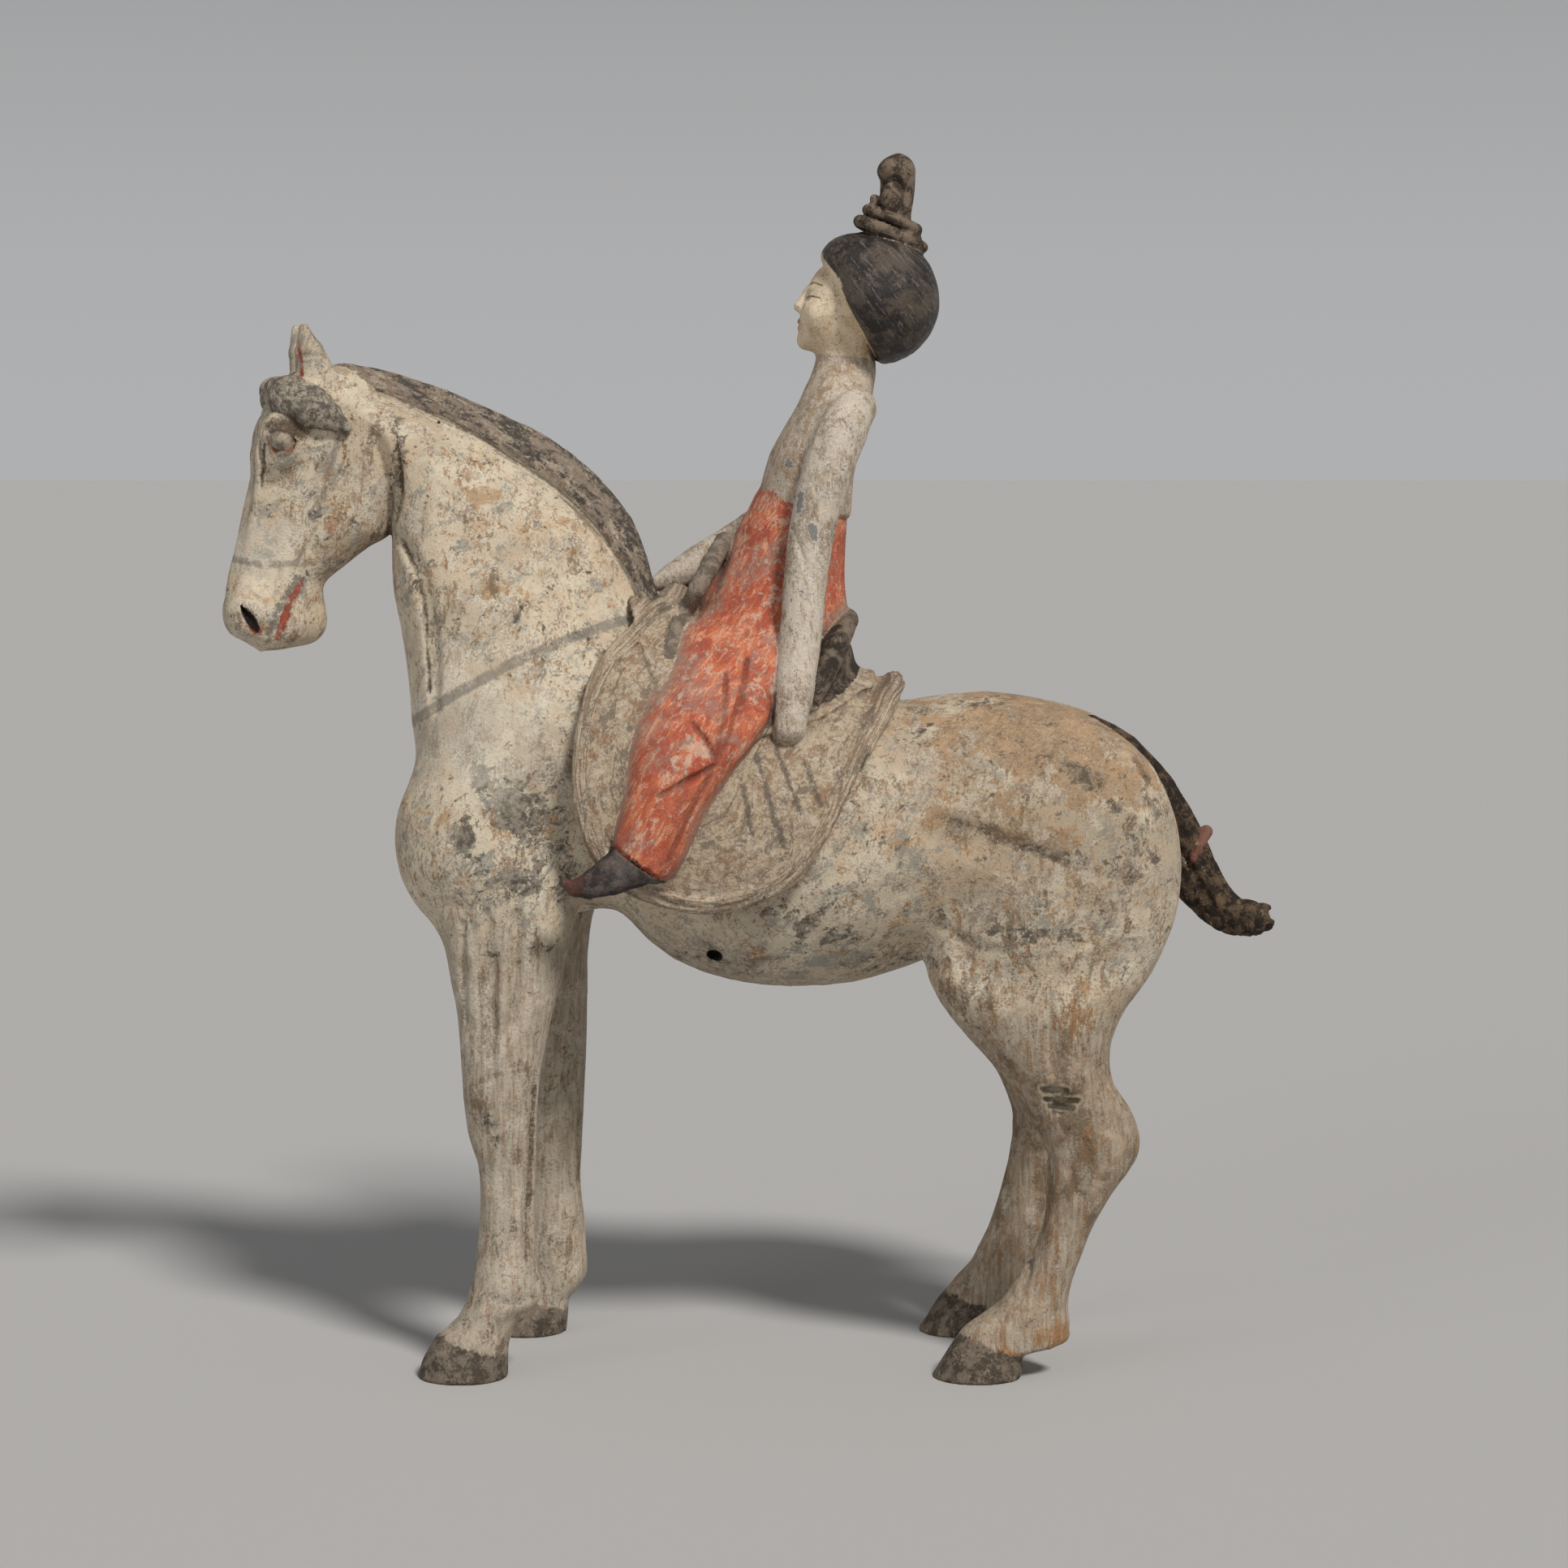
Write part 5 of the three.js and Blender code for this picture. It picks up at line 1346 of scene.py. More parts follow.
def muzzle_and_eye_paint(m, base):
    """Grey beside the mouth, red in the mouth, ears and lids, and the eyeball."""
    lips = [(m.attribute("lips"), 1), (m.ragged, 0.7), (m.patchy, 0.3)]
    base = m.laid(base, lips, 1.9, 0.8, 0.8, "#68645b")
    red = m.band([(m.attribute("red"), 1), (m.ragged, 0.2)], 0.55, 0.0)
    red = m.times(red, m.band(m.grain, -2.8, -1.2))
    base = m.mix(red, base, m.blend(m.mottle, -1, 1, "#a9553f", "#8f4a39"))
    eyeball = m.blend(m.mottle, -1.4, 1.4, "#a39683", "#6b6156")
    return m.laid(base, m.attribute("eye"), 0.6, 0.1, 0.85, eyeball)


def scar_paint(m, base):
    """Painted shade in three cuts on the left hock, with a paler rim beside them."""
    left = m.band(m.vector("DOT_PRODUCT", m.place, (0, 1, 0)), -20.0, -24.0)
    cut = m.total([(m.nearest(SCAR_LINES), 1), (m.ragged, 0.12)])
    base = m.mix(m.times(m.times(m.band(cut, 2.7, 1.9), left), 0.5), base, "#b5a88f")
    # Painted shade along the middle of each cut.
    return m.mix(m.times(m.times(m.band(cut, 1.5, 0.7), left), 0.85), base, "#4b4639")


def horse_material():
    """The layers of the horse's paint. What several layers share is kept with the paint."""
    m = Paint("horse slip")
    m.earth = m.attribute("earth")
    m.wear = m.attribute("wear")
    m.leg = m.attribute("leg")
    m.cloudy = m.noise(34, 4, 0.6, 0.3, seed=2)
    m.patchy = m.noise(12, 7, 0.66, 0.5, seed=3)
    m.mottle = m.noise(3.6, 7, 0.66, 0.5, seed=4)
    m.grain = m.noise(1.1, 4, 0.7, seed=1)
    m.ragged = m.total([(m.noise(4, 7, 0.7, seed=8), 0.8), (m.grain, 0.6)])
    m.streak = m.noise(2, 7, 0.68, 0.4, (1, 1, 9), seed=7)
    base = soil(m, leg_slip(m, bare_slip(m)))
    lost = lost_slip(m)
    clay = m.blend(m.noise(2.6, 7, 0.7, seed=6), -1.4, 1.4, "#857d71", "#45413a")
    base = m.mix(m.times(lost, 0.88), base, clay)
    layers = (
        tints, painted_harness, mane_paint, forelock_paint, tail_paint, hoof_paint,
        muzzle_and_eye_paint, scar_paint,
    )
    for layer in layers:
        base = layer(m, base)
    # Painted shade: darker in hollows and drawn creases, under the edge of the saddle cloth and around the
    # eye.
    crease_shade = [(m.attribute("cavity"), 1), (m.grain, 0.08), (m.patchy, 0.1), (m.attribute("crease_shade"), 0.95)]
    base = m.laid(base, crease_shade, 0.3, 1.1, 0.9, "#4a3a2a")
    # Painted shade, nearly black, in the nostrils, the vent and the hole in the neck.
    base = m.laid(base, m.attribute("hole_shade"), 0.5, 0.0, 1, "#1d140e")
    skin = m.bump([(m.grain, 1), (m.mottle, 0.6)], 0.035)
    skin = m.bump(m.math("SUBTRACT", 1.0, lost), 0.1, skin)
    return m.finish(base, m.between(lost, 0.8, 0.92), skin)


# The rider's paint

def zone_mask(m, name):
    """1 on a zone of the rider and 0 beside it, with an uneven edge."""
    return m.band([(m.attribute(name), 1), (m.edge, 1)], -0.25, 0.25)


def bodice_paint(m):
    """Cream slip of the bodice and sleeves, brushed brown, with grey chips in pale rims."""
    cream = m.blend([(m.cloudy, 1), (m.grain, 0.5)], -1.6, 1.4, "#cabdab", "#a99a87")
    streak = m.noise(1.3, 6, 0.7, 0.4, (1, 1, 14), seed=26)
    cream = m.laid(cream, [(streak, 1), (m.mottle, 0.5), (m.cloudy, 0.4)], 0.3, 2.4, 0.65, "#8d7863")
    cream = m.laid(cream, [(m.torn, 1), (m.grain, 0.6)], 1.0, 2.4, 0.6, "#867768")
    pale = m.noise(1.8, 7, 0.7, 0.5, (1, 1, 8), seed=38)
    cream = m.laid(cream, [(pale, 1), (m.grain, 0.4)], 0.6, 2.2, 0.5, "#ddd3c4")
    brushed = m.noise(2.2, 7, 0.7, 0.6, (1, 1, 6), 22, 40)
    cream = m.laid(cream, [(brushed, 1), (m.cloudy, 0.4)], 0.9, 2.4, 0.6, "#86694b")
    cream = m.laid(cream, m.attribute("bodice"), -0.2, 0.3, 0.28, "#ab8c68")
    chips = m.total([(m.attribute("chips"), 1), (m.edge, 0.6)])
    cream = m.laid(cream, chips, 0.08, 0.2, 0.85, "#d3cbbe")
    return m.laid(cream, chips, 0.26, 0.36, 0.95, "#807f7b")


def saddle_cloth_paint(m):
    """Drab cloth with lines that follow its edge, four dark strokes and a browner rim."""
    follow = m.flow("rim", "around")
    lines = m.noise(1.2, 7, 0.68, 0.8, (1, 12, 1), seed=27, where=follow)
    blots = m.noise(4.6, 8, 0.72, 0.9, (1, 2.8, 1), seed=35, where=follow)
    blots = m.total([(blots, 1), (m.grain, 0.5)])
    weave = [(lines, 0.45), (m.torn, 0.5), (m.mottle, 0.5), (m.grain, 0.4)]
    cloth = m.blend(weave, -1.8, 1.7, "#b9a88f", "#87735f")
    cloth = m.laid(cloth, [(m.torn, 1), (lines, 0.3), (m.grain, 0.5)], 0.5, 2.2, 0.75, "#cbbfab")
    cloth = m.laid(cloth, blots, 0.8, 2.2, 0.7, "#655c51")
    cloth = m.laid(cloth, [(m.mottle, 1), (m.cloudy, 0.8)], 0.9, 2.0, 0.55, "#8e6c50")
    stripe = [(m.nearest(STRIPES), 1), (m.edge, 0.9), (m.torn, 0.28)]
    cloth = m.laid(cloth, stripe, 1.7, 0.3, 0.72, "#514a42")
    rim = m.blend([(lines, 1), (m.grain, 0.5)], -1.5, 1.4, "#bdad96", "#7f6b57")
    rim = m.laid(rim, blots, 0.6, 1.9, 0.7, "#6e655b")
    return m.laid(cloth, m.attribute("rim"), 0.0, 0.6, 0.8, rim)


def saddle_board_paint(m, base):
    """The dark raised back and the front bar of the saddle."""
    board = m.blend([(m.cloudy, 1), (m.grain, 0.4), (m.mottle, 0.4)], -1.4, 2.2, "#332c26", "#7a6c5d")
    base = m.mix(zone_mask(m, "cantle"), base, board)
    bar = m.blend([(m.torn, 1), (m.grain, 0.5)], -1.6, 1.6, "#675d52", "#8d8071")
    return m.mix(zone_mask(m, "pommel"), base, bar)


def skirt_paint(m):
    """Vermilion, rubbed through in scratches, dusty at the hem, with painted shade in the folds."""
    drift = m.noise(12, 7, 0.68, 0.9, (1.5, 1, 0.8), 65, 28)
    red = m.blend([(drift, 1), (m.grain, 0.5)], -1.6, 1.6, "#c86f4d", "#ab5540")
    veil = m.noise(18, 8, 0.68, 0.8, seed=29)
    red = m.laid(red, [(veil, 1), (m.grain, 0.5), (m.mottle, 0.5)], -0.3, 2.2, 0.66, "#9b8073")
    scratch = m.noise(1.7, 8, 0.72, 0.9, (5, 3, 1), 56, 30)
    red = m.laid(red, [(scratch, 1), (m.grain, 0.5), (drift, -0.5)], 0.5, 2.8, 0.66, "#e0ae8e")
    red = m.laid(red, [(m.mottle, 1), (m.cloudy, 0.7)], 1.2, 2.6, 0.55, "#d0bba5")
    red = m.laid(red, [(m.torn, 1), (m.grain, 0.7)], 1.3, 2.6, 0.5, "#76594e")
    red = m.laid(red, [(m.attribute("hem"), -1), (m.edge, 3)], -8.0, 0.5, 0.85, "#8b7a6b")
    # Painted shade in the folds of the knee.
    return m.laid(red, [(m.attribute("fold_shade"), 1), (m.edge, 0.5)], 1.7, 0.3, 0.6, "#6f3b2d")


def boot_paint(m):
    leather = m.noise(10, 6, 0.6, seed=31)
    leather = m.blend([(leather, 1), (m.grain, 0.3)], -1.8, 2.2, "#302d2c", "#675f5a")
    return m.laid(leather, [(m.attribute("toe"), 1), (m.torn, 0.25)], 0.0, 1.2, 0.5, "#71402f")


def face_paint(m, base):
    """Pale skin, red lips, and fine dark brows and lids."""
    skin = m.blend([(m.cloudy, 1), (m.grain, 0.4)], -1.8, 1.6, "#e3d1b4", "#ccb696")
    skin = m.laid(skin, [(m.mottle, 1), (m.grain, 0.5)], 1.0, 2.4, 0.5, "#8f7860")
    base = m.mix(zone_mask(m, "face"), base, skin)
    base = m.laid(base, m.attribute("lips"), 0.35, 0.05, 0.8, "#a65843")
    return m.laid(base, [(m.nearest(FACE_LINES), 1), (m.grain, 0.05)], 0.5, 0.2, 0.75, "#54463a")


def hair_paint(m, base, hair_zone):
    hair = m.noise(12, 7, 0.66, 0.5, seed=32)
    hair = m.blend([(hair, 1), (m.grain, 0.3)], -1.4, 1.6, "#272321", "#53493f")
    brushed = m.noise(1.3, 6, 0.7, 0.3, (8, 4, 1), -50, 36)
    hair = m.laid(hair, [(brushed, 1), (m.grain, 0.4)], 0.6, 2.4, 0.5, "#7c736a")
    base = m.mix(hair_zone, base, hair)
    coils = m.noise(5, 7, 0.68, 0.5, seed=33)
    coils = m.blend([(coils, 1), (m.grain, 0.5)], -1.6, 1.6, "#3d342c", "#7c6c5b")
    return m.mix(zone_mask(m, "topknot"), base, coils)


def rider_material():
    """The rider's paint: each part has its own, laid over the others where its zone is."""
    m = Paint("rider paint")
    m.grain = m.noise(1.0, 4, 0.7, seed=21)
    m.cloudy = m.noise(15, 6, 0.65, 0.4, seed=22)
    m.mottle = m.noise(3.2, 7, 0.7, 0.5, seed=23)
    m.torn = m.noise(6, 8, 0.74, 0.8, seed=24)
    m.edge = m.total([(m.noise(3, 6, 0.7, seed=25), 0.22), (m.grain, 0.12)])
    skirt_zone = zone_mask(m, "skirt")
    hair_zone = zone_mask(m, "hair")
    base = m.mix(zone_mask(m, "saddle"), bodice_paint(m), saddle_cloth_paint(m))
    base = saddle_board_paint(m, base)
    base = m.mix(skirt_zone, base, skirt_paint(m))
    base = m.mix(zone_mask(m, "boot"), base, boot_paint(m))
    base = hair_paint(m, face_paint(m, base), hair_zone)
    # Painted shade in the hollows: red-brown on the skirt, dark brown elsewhere.
    crevice_shade = [(m.attribute("cavity"), 1), (m.grain, 0.08), (m.torn, 0.1)]
    base = m.laid(base, crevice_shade, 0.4, 1.2, 0.8, m.mix(skirt_zone, "#3c2c1f", "#6b4536"))
    base = m.laid(base, m.noise(0.9, 3, 0.6, seed=37), 1.5, 2.6, 0.45, "#5c4a3a")
    skin = m.bump([(m.grain, 1), (m.mottle, 0.6)], 0.03)
    return m.finish(base, m.between(hair_zone, 0.86, 0.44), skin)


# Relief and paint zones

def line_distance(p, points):
    """Distance in a side view from each point to a drawn line."""
    x, z = p[:, 0], p[:, 2]
    best = np.full(len(p), FAR)
    q = np.array(points, float)
    for a, b in zip(q[:-1], q[1:]):
        d = b - a
        h = np.clip(((x - a[0]) * d[0] + (z - a[1]) * d[1]) / (d @ d), 0, 1)
        best = np.minimum(best, np.hypot(x - a[0] - h * d[0], z - a[1] - h * d[1]))
    return best


def spots(p, places, side=-1):
    """Soft oval patches x, z, half length, half height, lean in degrees, strength, on one side."""
    total = np.zeros(len(p))
    for x, z, rx, rz, lean, strength in places:
        c, s = math.cos(math.radians(lean)), math.sin(math.radians(lean))
        dx, dz = p[:, 0] - x, p[:, 2] - z
        d = np.hypot((dx * c + dz * s) / rx, (dz * c - dx * s) / rz)
        total = np.maximum(total, strength * np.clip(1.5 * (1 - d), 0, 1))
    return total * (side * p[:, 1] > 0)


def ridge(value, width):
    """1 where the value is 0, fading out on both sides."""
    return np.exp(-((value / width) ** 2))


def into_neck(x, z):
    """Places along the neck and up from its middle line."""
    dx, dz = x - NECK_BASE[0], z - NECK_BASE[1]
    return dx * NECK_UP[0] + dz * NECK_UP[1], dx * NECK_UP[1] - dz * NECK_UP[0]


def above_mane_edge(p):
    """How far up from the mane's lower edge each point lies."""
    t, u = into_neck(p[:, 0], p[:, 2])
    return u - Table(MANE).at(t, 0)


# Creases drawn on the left side: points x, z, with the width, the depth and how dark their painted shade
# is.
CREASES = [
    ([(-141.8, 380), (-140.8, 368), (-140.6, 358), (-142, 349), (-146, 341)], 1.3, 1.4, 1.1),
    ([(-140, 338), (-134.5, 328), (-130.6, 315), (-129.3, 298.5), (-128.6, 278)], 1.2, 0.9, 1.0),
    ([(-122, 193), (-112.4, 194), (-101, 195.4), (-89.8, 197), (-81, 202)], 2.0, 0.9, 0.5),
    ([(-112.4, 189), (-108.2, 176), (-106.9, 161.5), (-107.6, 145), (-108.2, 129)], 1.8, 0.7, 0.35),
    ([(-100.5, 186), (-100.5, 174), (-102, 160), (-102.4, 145)], 1.6, 0.7, 0.35),
    ([(-91.4, 187), (-93.4, 168), (-95.3, 152)], 1.6, 0.6, 0.3),
    ([(-86.6, 118), (-87.6, 100), (-88.2, 84), (-89.5, 68), (-90.2, 49)], 1.3, 0.9, 0.6),
    ([(-107, 38), (-101, 34.3), (-94, 32.3), (-87.6, 34.6)], 1.6, 0.7, 0.5),
    ([(118.4, 143), (121.6, 135), (124.2, 125)], 1.8, 0.7, 0.3),
    ([(131, 100), (129, 88.6), (131, 79)], 1.8, 0.8, 0.5),
    ([(136, 74), (132.7, 61), (128.5, 48), (126.2, 35.4)], 1.5, 0.7, 0.5),
    ([(121.4, 87), (118.8, 71), (115.6, 55), (110, 38.6)], 1.6, 0.6, 0.3),
    ([(102, 122.5), (109, 115.4), (112.3, 106.4)], 1.8, 0.6, 0.3),
    ([(66.4, 232.6), (88.9, 226), (108, 218), (130.7, 210), (153, 203.7)], 2.2, 0.7, 0.45),
    ([(76, 184.4), (88.9, 178), (105, 174), (121, 174), (135.6, 179.5), (144, 186)], 2.4, 0.8, 0.4),
    ([(-63.6, 304), (-64.4, 298), (-66, 291.4)], 0.7, 0.6, 1.0),
    ([(-194.2, 377), (-195, 369), (-195.8, 360)], 0.8, 0.9, 1.0),
    ([(117.5, 118.5), (125, 117.5), (132.5, 118.8)], 1.0, 1.2, 1.0),
    ([(119, 114.5), (126, 113.5), (132, 114.5)], 1.0, 1.1, 0.9),
    ([(121, 110.8), (126, 109.8), (130, 110.6)], 0.9, 1.0, 0.9),
]


def creases(p, column):
    """Drawn creases of the left side: their depth, or how dark the painted shade in them is."""
    total = np.zeros(len(p))
    for points, width, depth, dark in CREASES:
        line = ridge(line_distance(p, points), width)
        total = np.maximum(total, line * (depth if column == "depth" else dark))
    return total * (p[:, 1] < -12)


def mane_relief(skin, grain):
    """Rough locks over a smoother fringe, with a furrow along each edge of the fringe."""
    up = above_mane_edge(skin.points)
    furrows = -0.8 * ridge(up - FRINGE_LINE, 1.1) - 0.7 * ridge(up, 1.2)
    rough = 0.45 * grain.layered(skin.points, 4, 3) * smoothstep(up, 6, 9)
    return smoothstep(skin.zone("mane"), 1.2, 0.2) * (furrows + rough)


def tail_relief(skin, lumps):
    """Strands that run along the tail."""
    x, y, z = skin.points.T
    wave = (0.83 * x + 0.56 * z) * 1.3 + y * 0.8 + 2 * lumps.at(skin.points, 14)
    strands = 0.5 * smoothstep(z, 250, 232) * np.sin(wave)
    return smoothstep(skin.zone("tail"), 1.2, 0.2) * strands


def horse_relief(skin):
    p = skin.points
    lumps, grain = Noise(11), Noise(12)
    body = 0.34 * lumps.at(p, 23) + 0.18 * lumps.at(p, 9)
    tooled = 0.3 * grain.at(p, 3.4, (1, 1, 9)) * smoothstep(p[:, 2], 185, 150)
    flakes = 0.12 * smoothstep(grain.layered(p, 12, 5), -0.06, 0.06)
    carved = creases(p, "depth") * smoothstep(-skin.normal[:, 1], 0.15, 0.5)
    hair = mane_relief(skin, grain) + tail_relief(skin, lumps)
    return body + tooled + flakes + hair - carved - 0.1


def rider_relief(skin):
    p = skin.points
    lumps, grain = Noise(21), Noise(22)
    body = 0.2 * lumps.at(p, 15) + 0.12 * lumps.at(p, 6)
    tooled = 0.2 * grain.at(p, 2.4, (1, 1, 8))
    edge = cloth_edge(p[:, 0], p[:, 2])
    cloth = smoothstep(skin.zone("saddle"), 0.6, 0.1)
    stripes = np.minimum.reduce([line_distance(p, line) for line in STRIPES])
    stripes = 0.35 * ridge(stripes, 0.9) * (edge < -RIM_WIDTH)
    brushed = 0.22 * np.sin(edge * 3.1 + 2.5 * lumps.at(p, 12)) * smoothstep(edge, -20, -2)
    return body + tooled + cloth * (brushed - stripes) - 0.08


STRIPES = [
    ((-2, 242), (1, 224)), ((3, 254), (14, 219)), ((11, 257), (20.5, 232)), ((22.5, 251), (28.5, 235)),
]


# The painted harness: the strap in x and z, the bridle in the head's own frame.
BREAST_STRAP = [(-141, 260), (-137, 264), (-118, 277), (-96, 289), (-70, 300), (-46, 308)]
CHEEK_STRAP = [(20, -1.4), (36, -1.8), (56, -1.8), (73, 0.8)]
NOSEBAND = [(79, 26), (78, 13), (74, 1), (70, -10), (69, -16)]
NECK_HOLE = (-125.6, 385.6)
HORN_HEIGHT = 21

# Patches of the left side: x, z, half length, half height, lean in degrees, strength.
# Worn places, and painted shade along the jaw and neck creases.
WORN_AND_SHADED = [
    (-90, 231, 22, 15, -35, 1.4), (-105, 243, 8, 14, 20, 1.3), (-111, 219, 10, 18, 20, 1.2),
    (-90, 205, 24, 9, 8, 1.3), (-74, 222, 5, 20, 0, 0.9), (-112, 196, 10, 5, -20, 0.9),
    (-78, 244, 4, 12, 10, 0.8), (-76, 200, 8, 10, 0, 0.9), (20, 190, 26, 10, 0, 0.7),
    (36, 181, 20, 8, 0, 0.8), (-20, 170, 30, 8, 0, 0.6), (60, 170, 24, 8, 0, 0.6),
    (86, 226, 22, 3, -14, 0.9), (118, 215, 22, 4, -12, 0.9), (147, 209, 14, 5, -20, 0.7),
    (92, 190, 10, 4, 0, 0.9), (114, 183, 28, 4, -2, 1.4), (138, 187, 10, 4, 30, 0.9),
    (155, 220, 6, 20, 20, 0.8), (131, 246, 17, 6, -32, 1.4), (146, 232, 8, 4, -40, 1.2),
    (95, 273, 20, 3, 8, 0.7), (160, 232, 6, 12, 25, 0.7), (112, 238, 7, 5, 0, 0.7),
    (70, 262, 12, 3, 40, 0.7), (-92, 309, 3.5, 11, 0, 0.9), (-163, 372, 4, 14, -5, 0.6),
    (-176, 352, 5, 20, 20, 0.6), (-158, 345, 5, 14, 0, 0.6), (-80, 322, 3, 4, 0, 0.7),
    (-141.5, 371, 4.5, 22, 0, 1.1), (-103, 178, 4, 14, 5, 0.8), (-116, 160, 3, 16, 8, 0.8),
    (-85, 172, 10, 12, 0, 0.5), (-134, 322, 3, 16, -15, 0.6), (-102, 100, 6, 8, 0, 0.6),
    (136, 132, 8, 14, 0, 0.5), (128, 96, 5, 12, 0, 0.6), (134, 82, 6, 8, 0, 0.6),
]
EARTHY = [
    (112, 262, 60, 25, 0, 1.3), (136, 245, 40, 22, 0, 0.9), (100, 228, 50, 14, -10, 0.7),
    (110, 150, 44, 30, 0, 0.5), (-70, 340, 34, 12, -40, 0.45), (-104, 352, 30, 14, -60, 0.55),
    (-165, 350, 10, 30, 0, 0.5), (-92, 232, 34, 20, 0, 0.35), (60, 205, 20, 34, 0, 0.35),
    (-92, 282, 34, 10, 20, 0.15),
]
# Grey smudges, and painted shade under the belly, on the lower body, the legs, the cheek and the ear.
GREY_AND_SHADE = [
    (10, 168, 90, 18, 0, 0.9), (40, 205, 40, 34, 0, 0.55), (60, 240, 22, 30, 0, 0.3),
    (-175, 365, 26, 40, 0, 0.6), (-98, 205, 32, 22, 0, 0.8), (-100, 100, 40, 60, 0, 0.5),
    (118, 188, 40, 12, 0, 0.5), (-178, 424, 24, 26, 0, 1.3), (145, 215, 16, 30, 20, 0.4),
]
# Dark brown on the legs, and painted shade under the haunch, in the flank creases and behind the elbow.
UMBER_AND_SHADE = [
    (120, 90, 40, 55, 0, 0.85), (110, 158, 44, 24, 0, 0.5), (-110, 120, 12, 60, 6, 0.5),
    (-94, 206, 30, 10, 0, 0.5), (92, 224, 34, 5, -14, 1), (118, 181, 34, 5, 0, 0.8),
    (-150, 338, 10, 4, 20, 1), (150, 200, 14, 16, 0, 0.4),
]
STAINS = [
    (-169, 368, 3, 9, -5, 1), (-167.5, 349, 4, 12, -5, 1), (-160, 366, 2, 6, 10, 0.7),
    (-122.6, 371, 2.5, 10, 12, 0.8), (-113, 364, 3, 9, -20, 0.7), (-86, 351, 13, 5, -35, 0.6),
    (-69, 318, 5, 3, 0, 0.8), (104, 196, 10, 7, 0, 0.6), (124, 189, 12, 5, 0, 0.6),
    (148, 212, 4, 6, 0, 0.9), (-93, 306, 3, 12, 0, 0.6), (-185, 366, 4, 3, 0, 0.8),
    (84, 208, 8, 8, 0, 0.6), (-104, 180, 3, 18, 4, 0.6), (-94, 178, 2, 18, 0, 0.5),
    (-108, 150, 3, 16, 0, 0.5),
]
# Painted shade on the rump and haunch, the hind leg, the ear and the cheek.
SHADY = [
    (118, 228, 84, 74, 0, 1), (122, 95, 66, 80, 0, 0.9), (-176, 425, 24, 28, 0, 0.8),
    (-166, 372, 24, 36, 0, 0.35),
]
# Painted light on the top of the chest, the muzzle and the front of the foreleg.
PALE = [
    (-110, 264, 46, 38, 0, 1), (-197, 331, 20, 28, 0, 0.9), (-112, 150, 12, 50, 0, 0.4),
]
RUSTY = [
    (124, 18, 11, 9, 0, 1.4), (104, 10, 8, 9, 0, 1.1), (130, 148, 12, 10, 0, 1.1),
    (136, 98, 3, 14, 0, 0.8), (120, 70, 3, 22, 12, 0.8), (112, 96, 3, 18, 0, 0.5),
]
PATCHES = {
    "earth": EARTHY, "grey_and_shade": GREY_AND_SHADE, "umber_and_shade": UMBER_AND_SHADE, "stain": STAINS, "shade": SHADY, "pale": PALE,
}
HOOF_FRONTS = ((-135, -1), (-112, 1), (76, -1), (72, 1))


def hair_zones(skin, on_head):
    """The mane in two parts, the furrows beside the lower one, the forelock and the tail."""
    p = skin.points
    up = above_mane_edge(p)
    mane = skin.zone("mane")
    furrow = np.minimum(np.abs(up + 0.4), np.abs(up - FRINGE_LINE))
    return {
        "mane": np.maximum(mane, (FRINGE_TOP - up) * 0.4),
        "fringe": np.maximum(mane, (up - FRINGE_TOP) * 0.4),
        "furrow": furrow + 2 * np.clip(mane - 1, 0, 5) + FAR * on_head,
        "above": up,
        "along": into_neck(p[:, 0], p[:, 2])[0],
        "forelock": skin.zone("forelock"),
        "tail": skin.zone("tail"),
        "knot": skin.zone("knot") - 0.2,
    }


def mouth_and_eye_zones(h, on_head):
    """What is red, the shadow of the lips and the eyeball. The places h are in the head's own frame,
    with both halves laid over each other."""
    mouth, ear, nostril = (rope(points).distance(*h.T) for points in (MOUTH, EAR_GROOVE, NOSTRIL))
    lid = smooth_rope(LOWER_LID).distance(*h.T) + 0.15
    inside_nose = np.where(h[:, 0] > 102.5, nostril - 0.8, FAR)
    shadow = rope([(t, v, u + 2.6, 0.5) for t, v, u, _ in MOUTH]).distance(*h.T)
    zones = {
        "red": np.minimum.reduce([mouth - 0.1, ear - 0.1, lid, inside_nose]),
        "lips": np.minimum.reduce([mouth + 0.7, shadow, nostril + 0.6]),
        "eye": ellipsoid(EYE, EYE_RADII).distance(*h.T),
    }
    return {name: np.where(on_head, values, FAR) for name, values in zones.items()}


def harness_zone(p, h, on_head):
    cheek, noseband = line_distance(h, CHEEK_STRAP), line_distance(h, NOSEBAND)
    bridle = np.minimum(cheek + 1.1, noseband + 0.7)
    strap = np.where(p[:, 2] > 250, line_distance(p, BREAST_STRAP), FAR)
    return np.where(on_head, bridle, strap)


def hole_shade_zone(p, h, on_head):
    """Painted shade, nearly black, inside the nostrils, the vent in the belly and the hole in the neck."""
    nostril = rope(NOSTRIL).distance(*h.T) - 0.25
    vent = rope(VENT).distance(*p.T) - 0.4
    hole = np.hypot(p[:, 0] - NECK_HOLE[0], p[:, 2] - NECK_HOLE[1]) - 0.5
    return np.minimum(np.where(on_head, nostril, vent), np.where(p[:, 1] < 0, hole, FAR))


def crease_shade_zone(p, h, on_head):
    """Painted shade in the drawn creases, a painted shadow under the edge of the saddle cloth, and painted
    shade around the eyeball and over the eye.
    """
    under = smoothstep(cloth_edge(p[:, 0], p[:, 2]), 5, 0) * (p[:, 2] < 322)
    ball = ellipsoid(EYE, EYE_RADII).distance(*h.T)
    socket = np.where(on_head, ridge(ball - 0.8, 0.6), 0)
    hooded = smoothstep(ball, 8, 3) * smoothstep(h[:, 0], 28, 24) * on_head
    return np.maximum.reduce([creases(p, "dark"), 0.55 * under, 0.8 * socket, 0.8 * hooded])


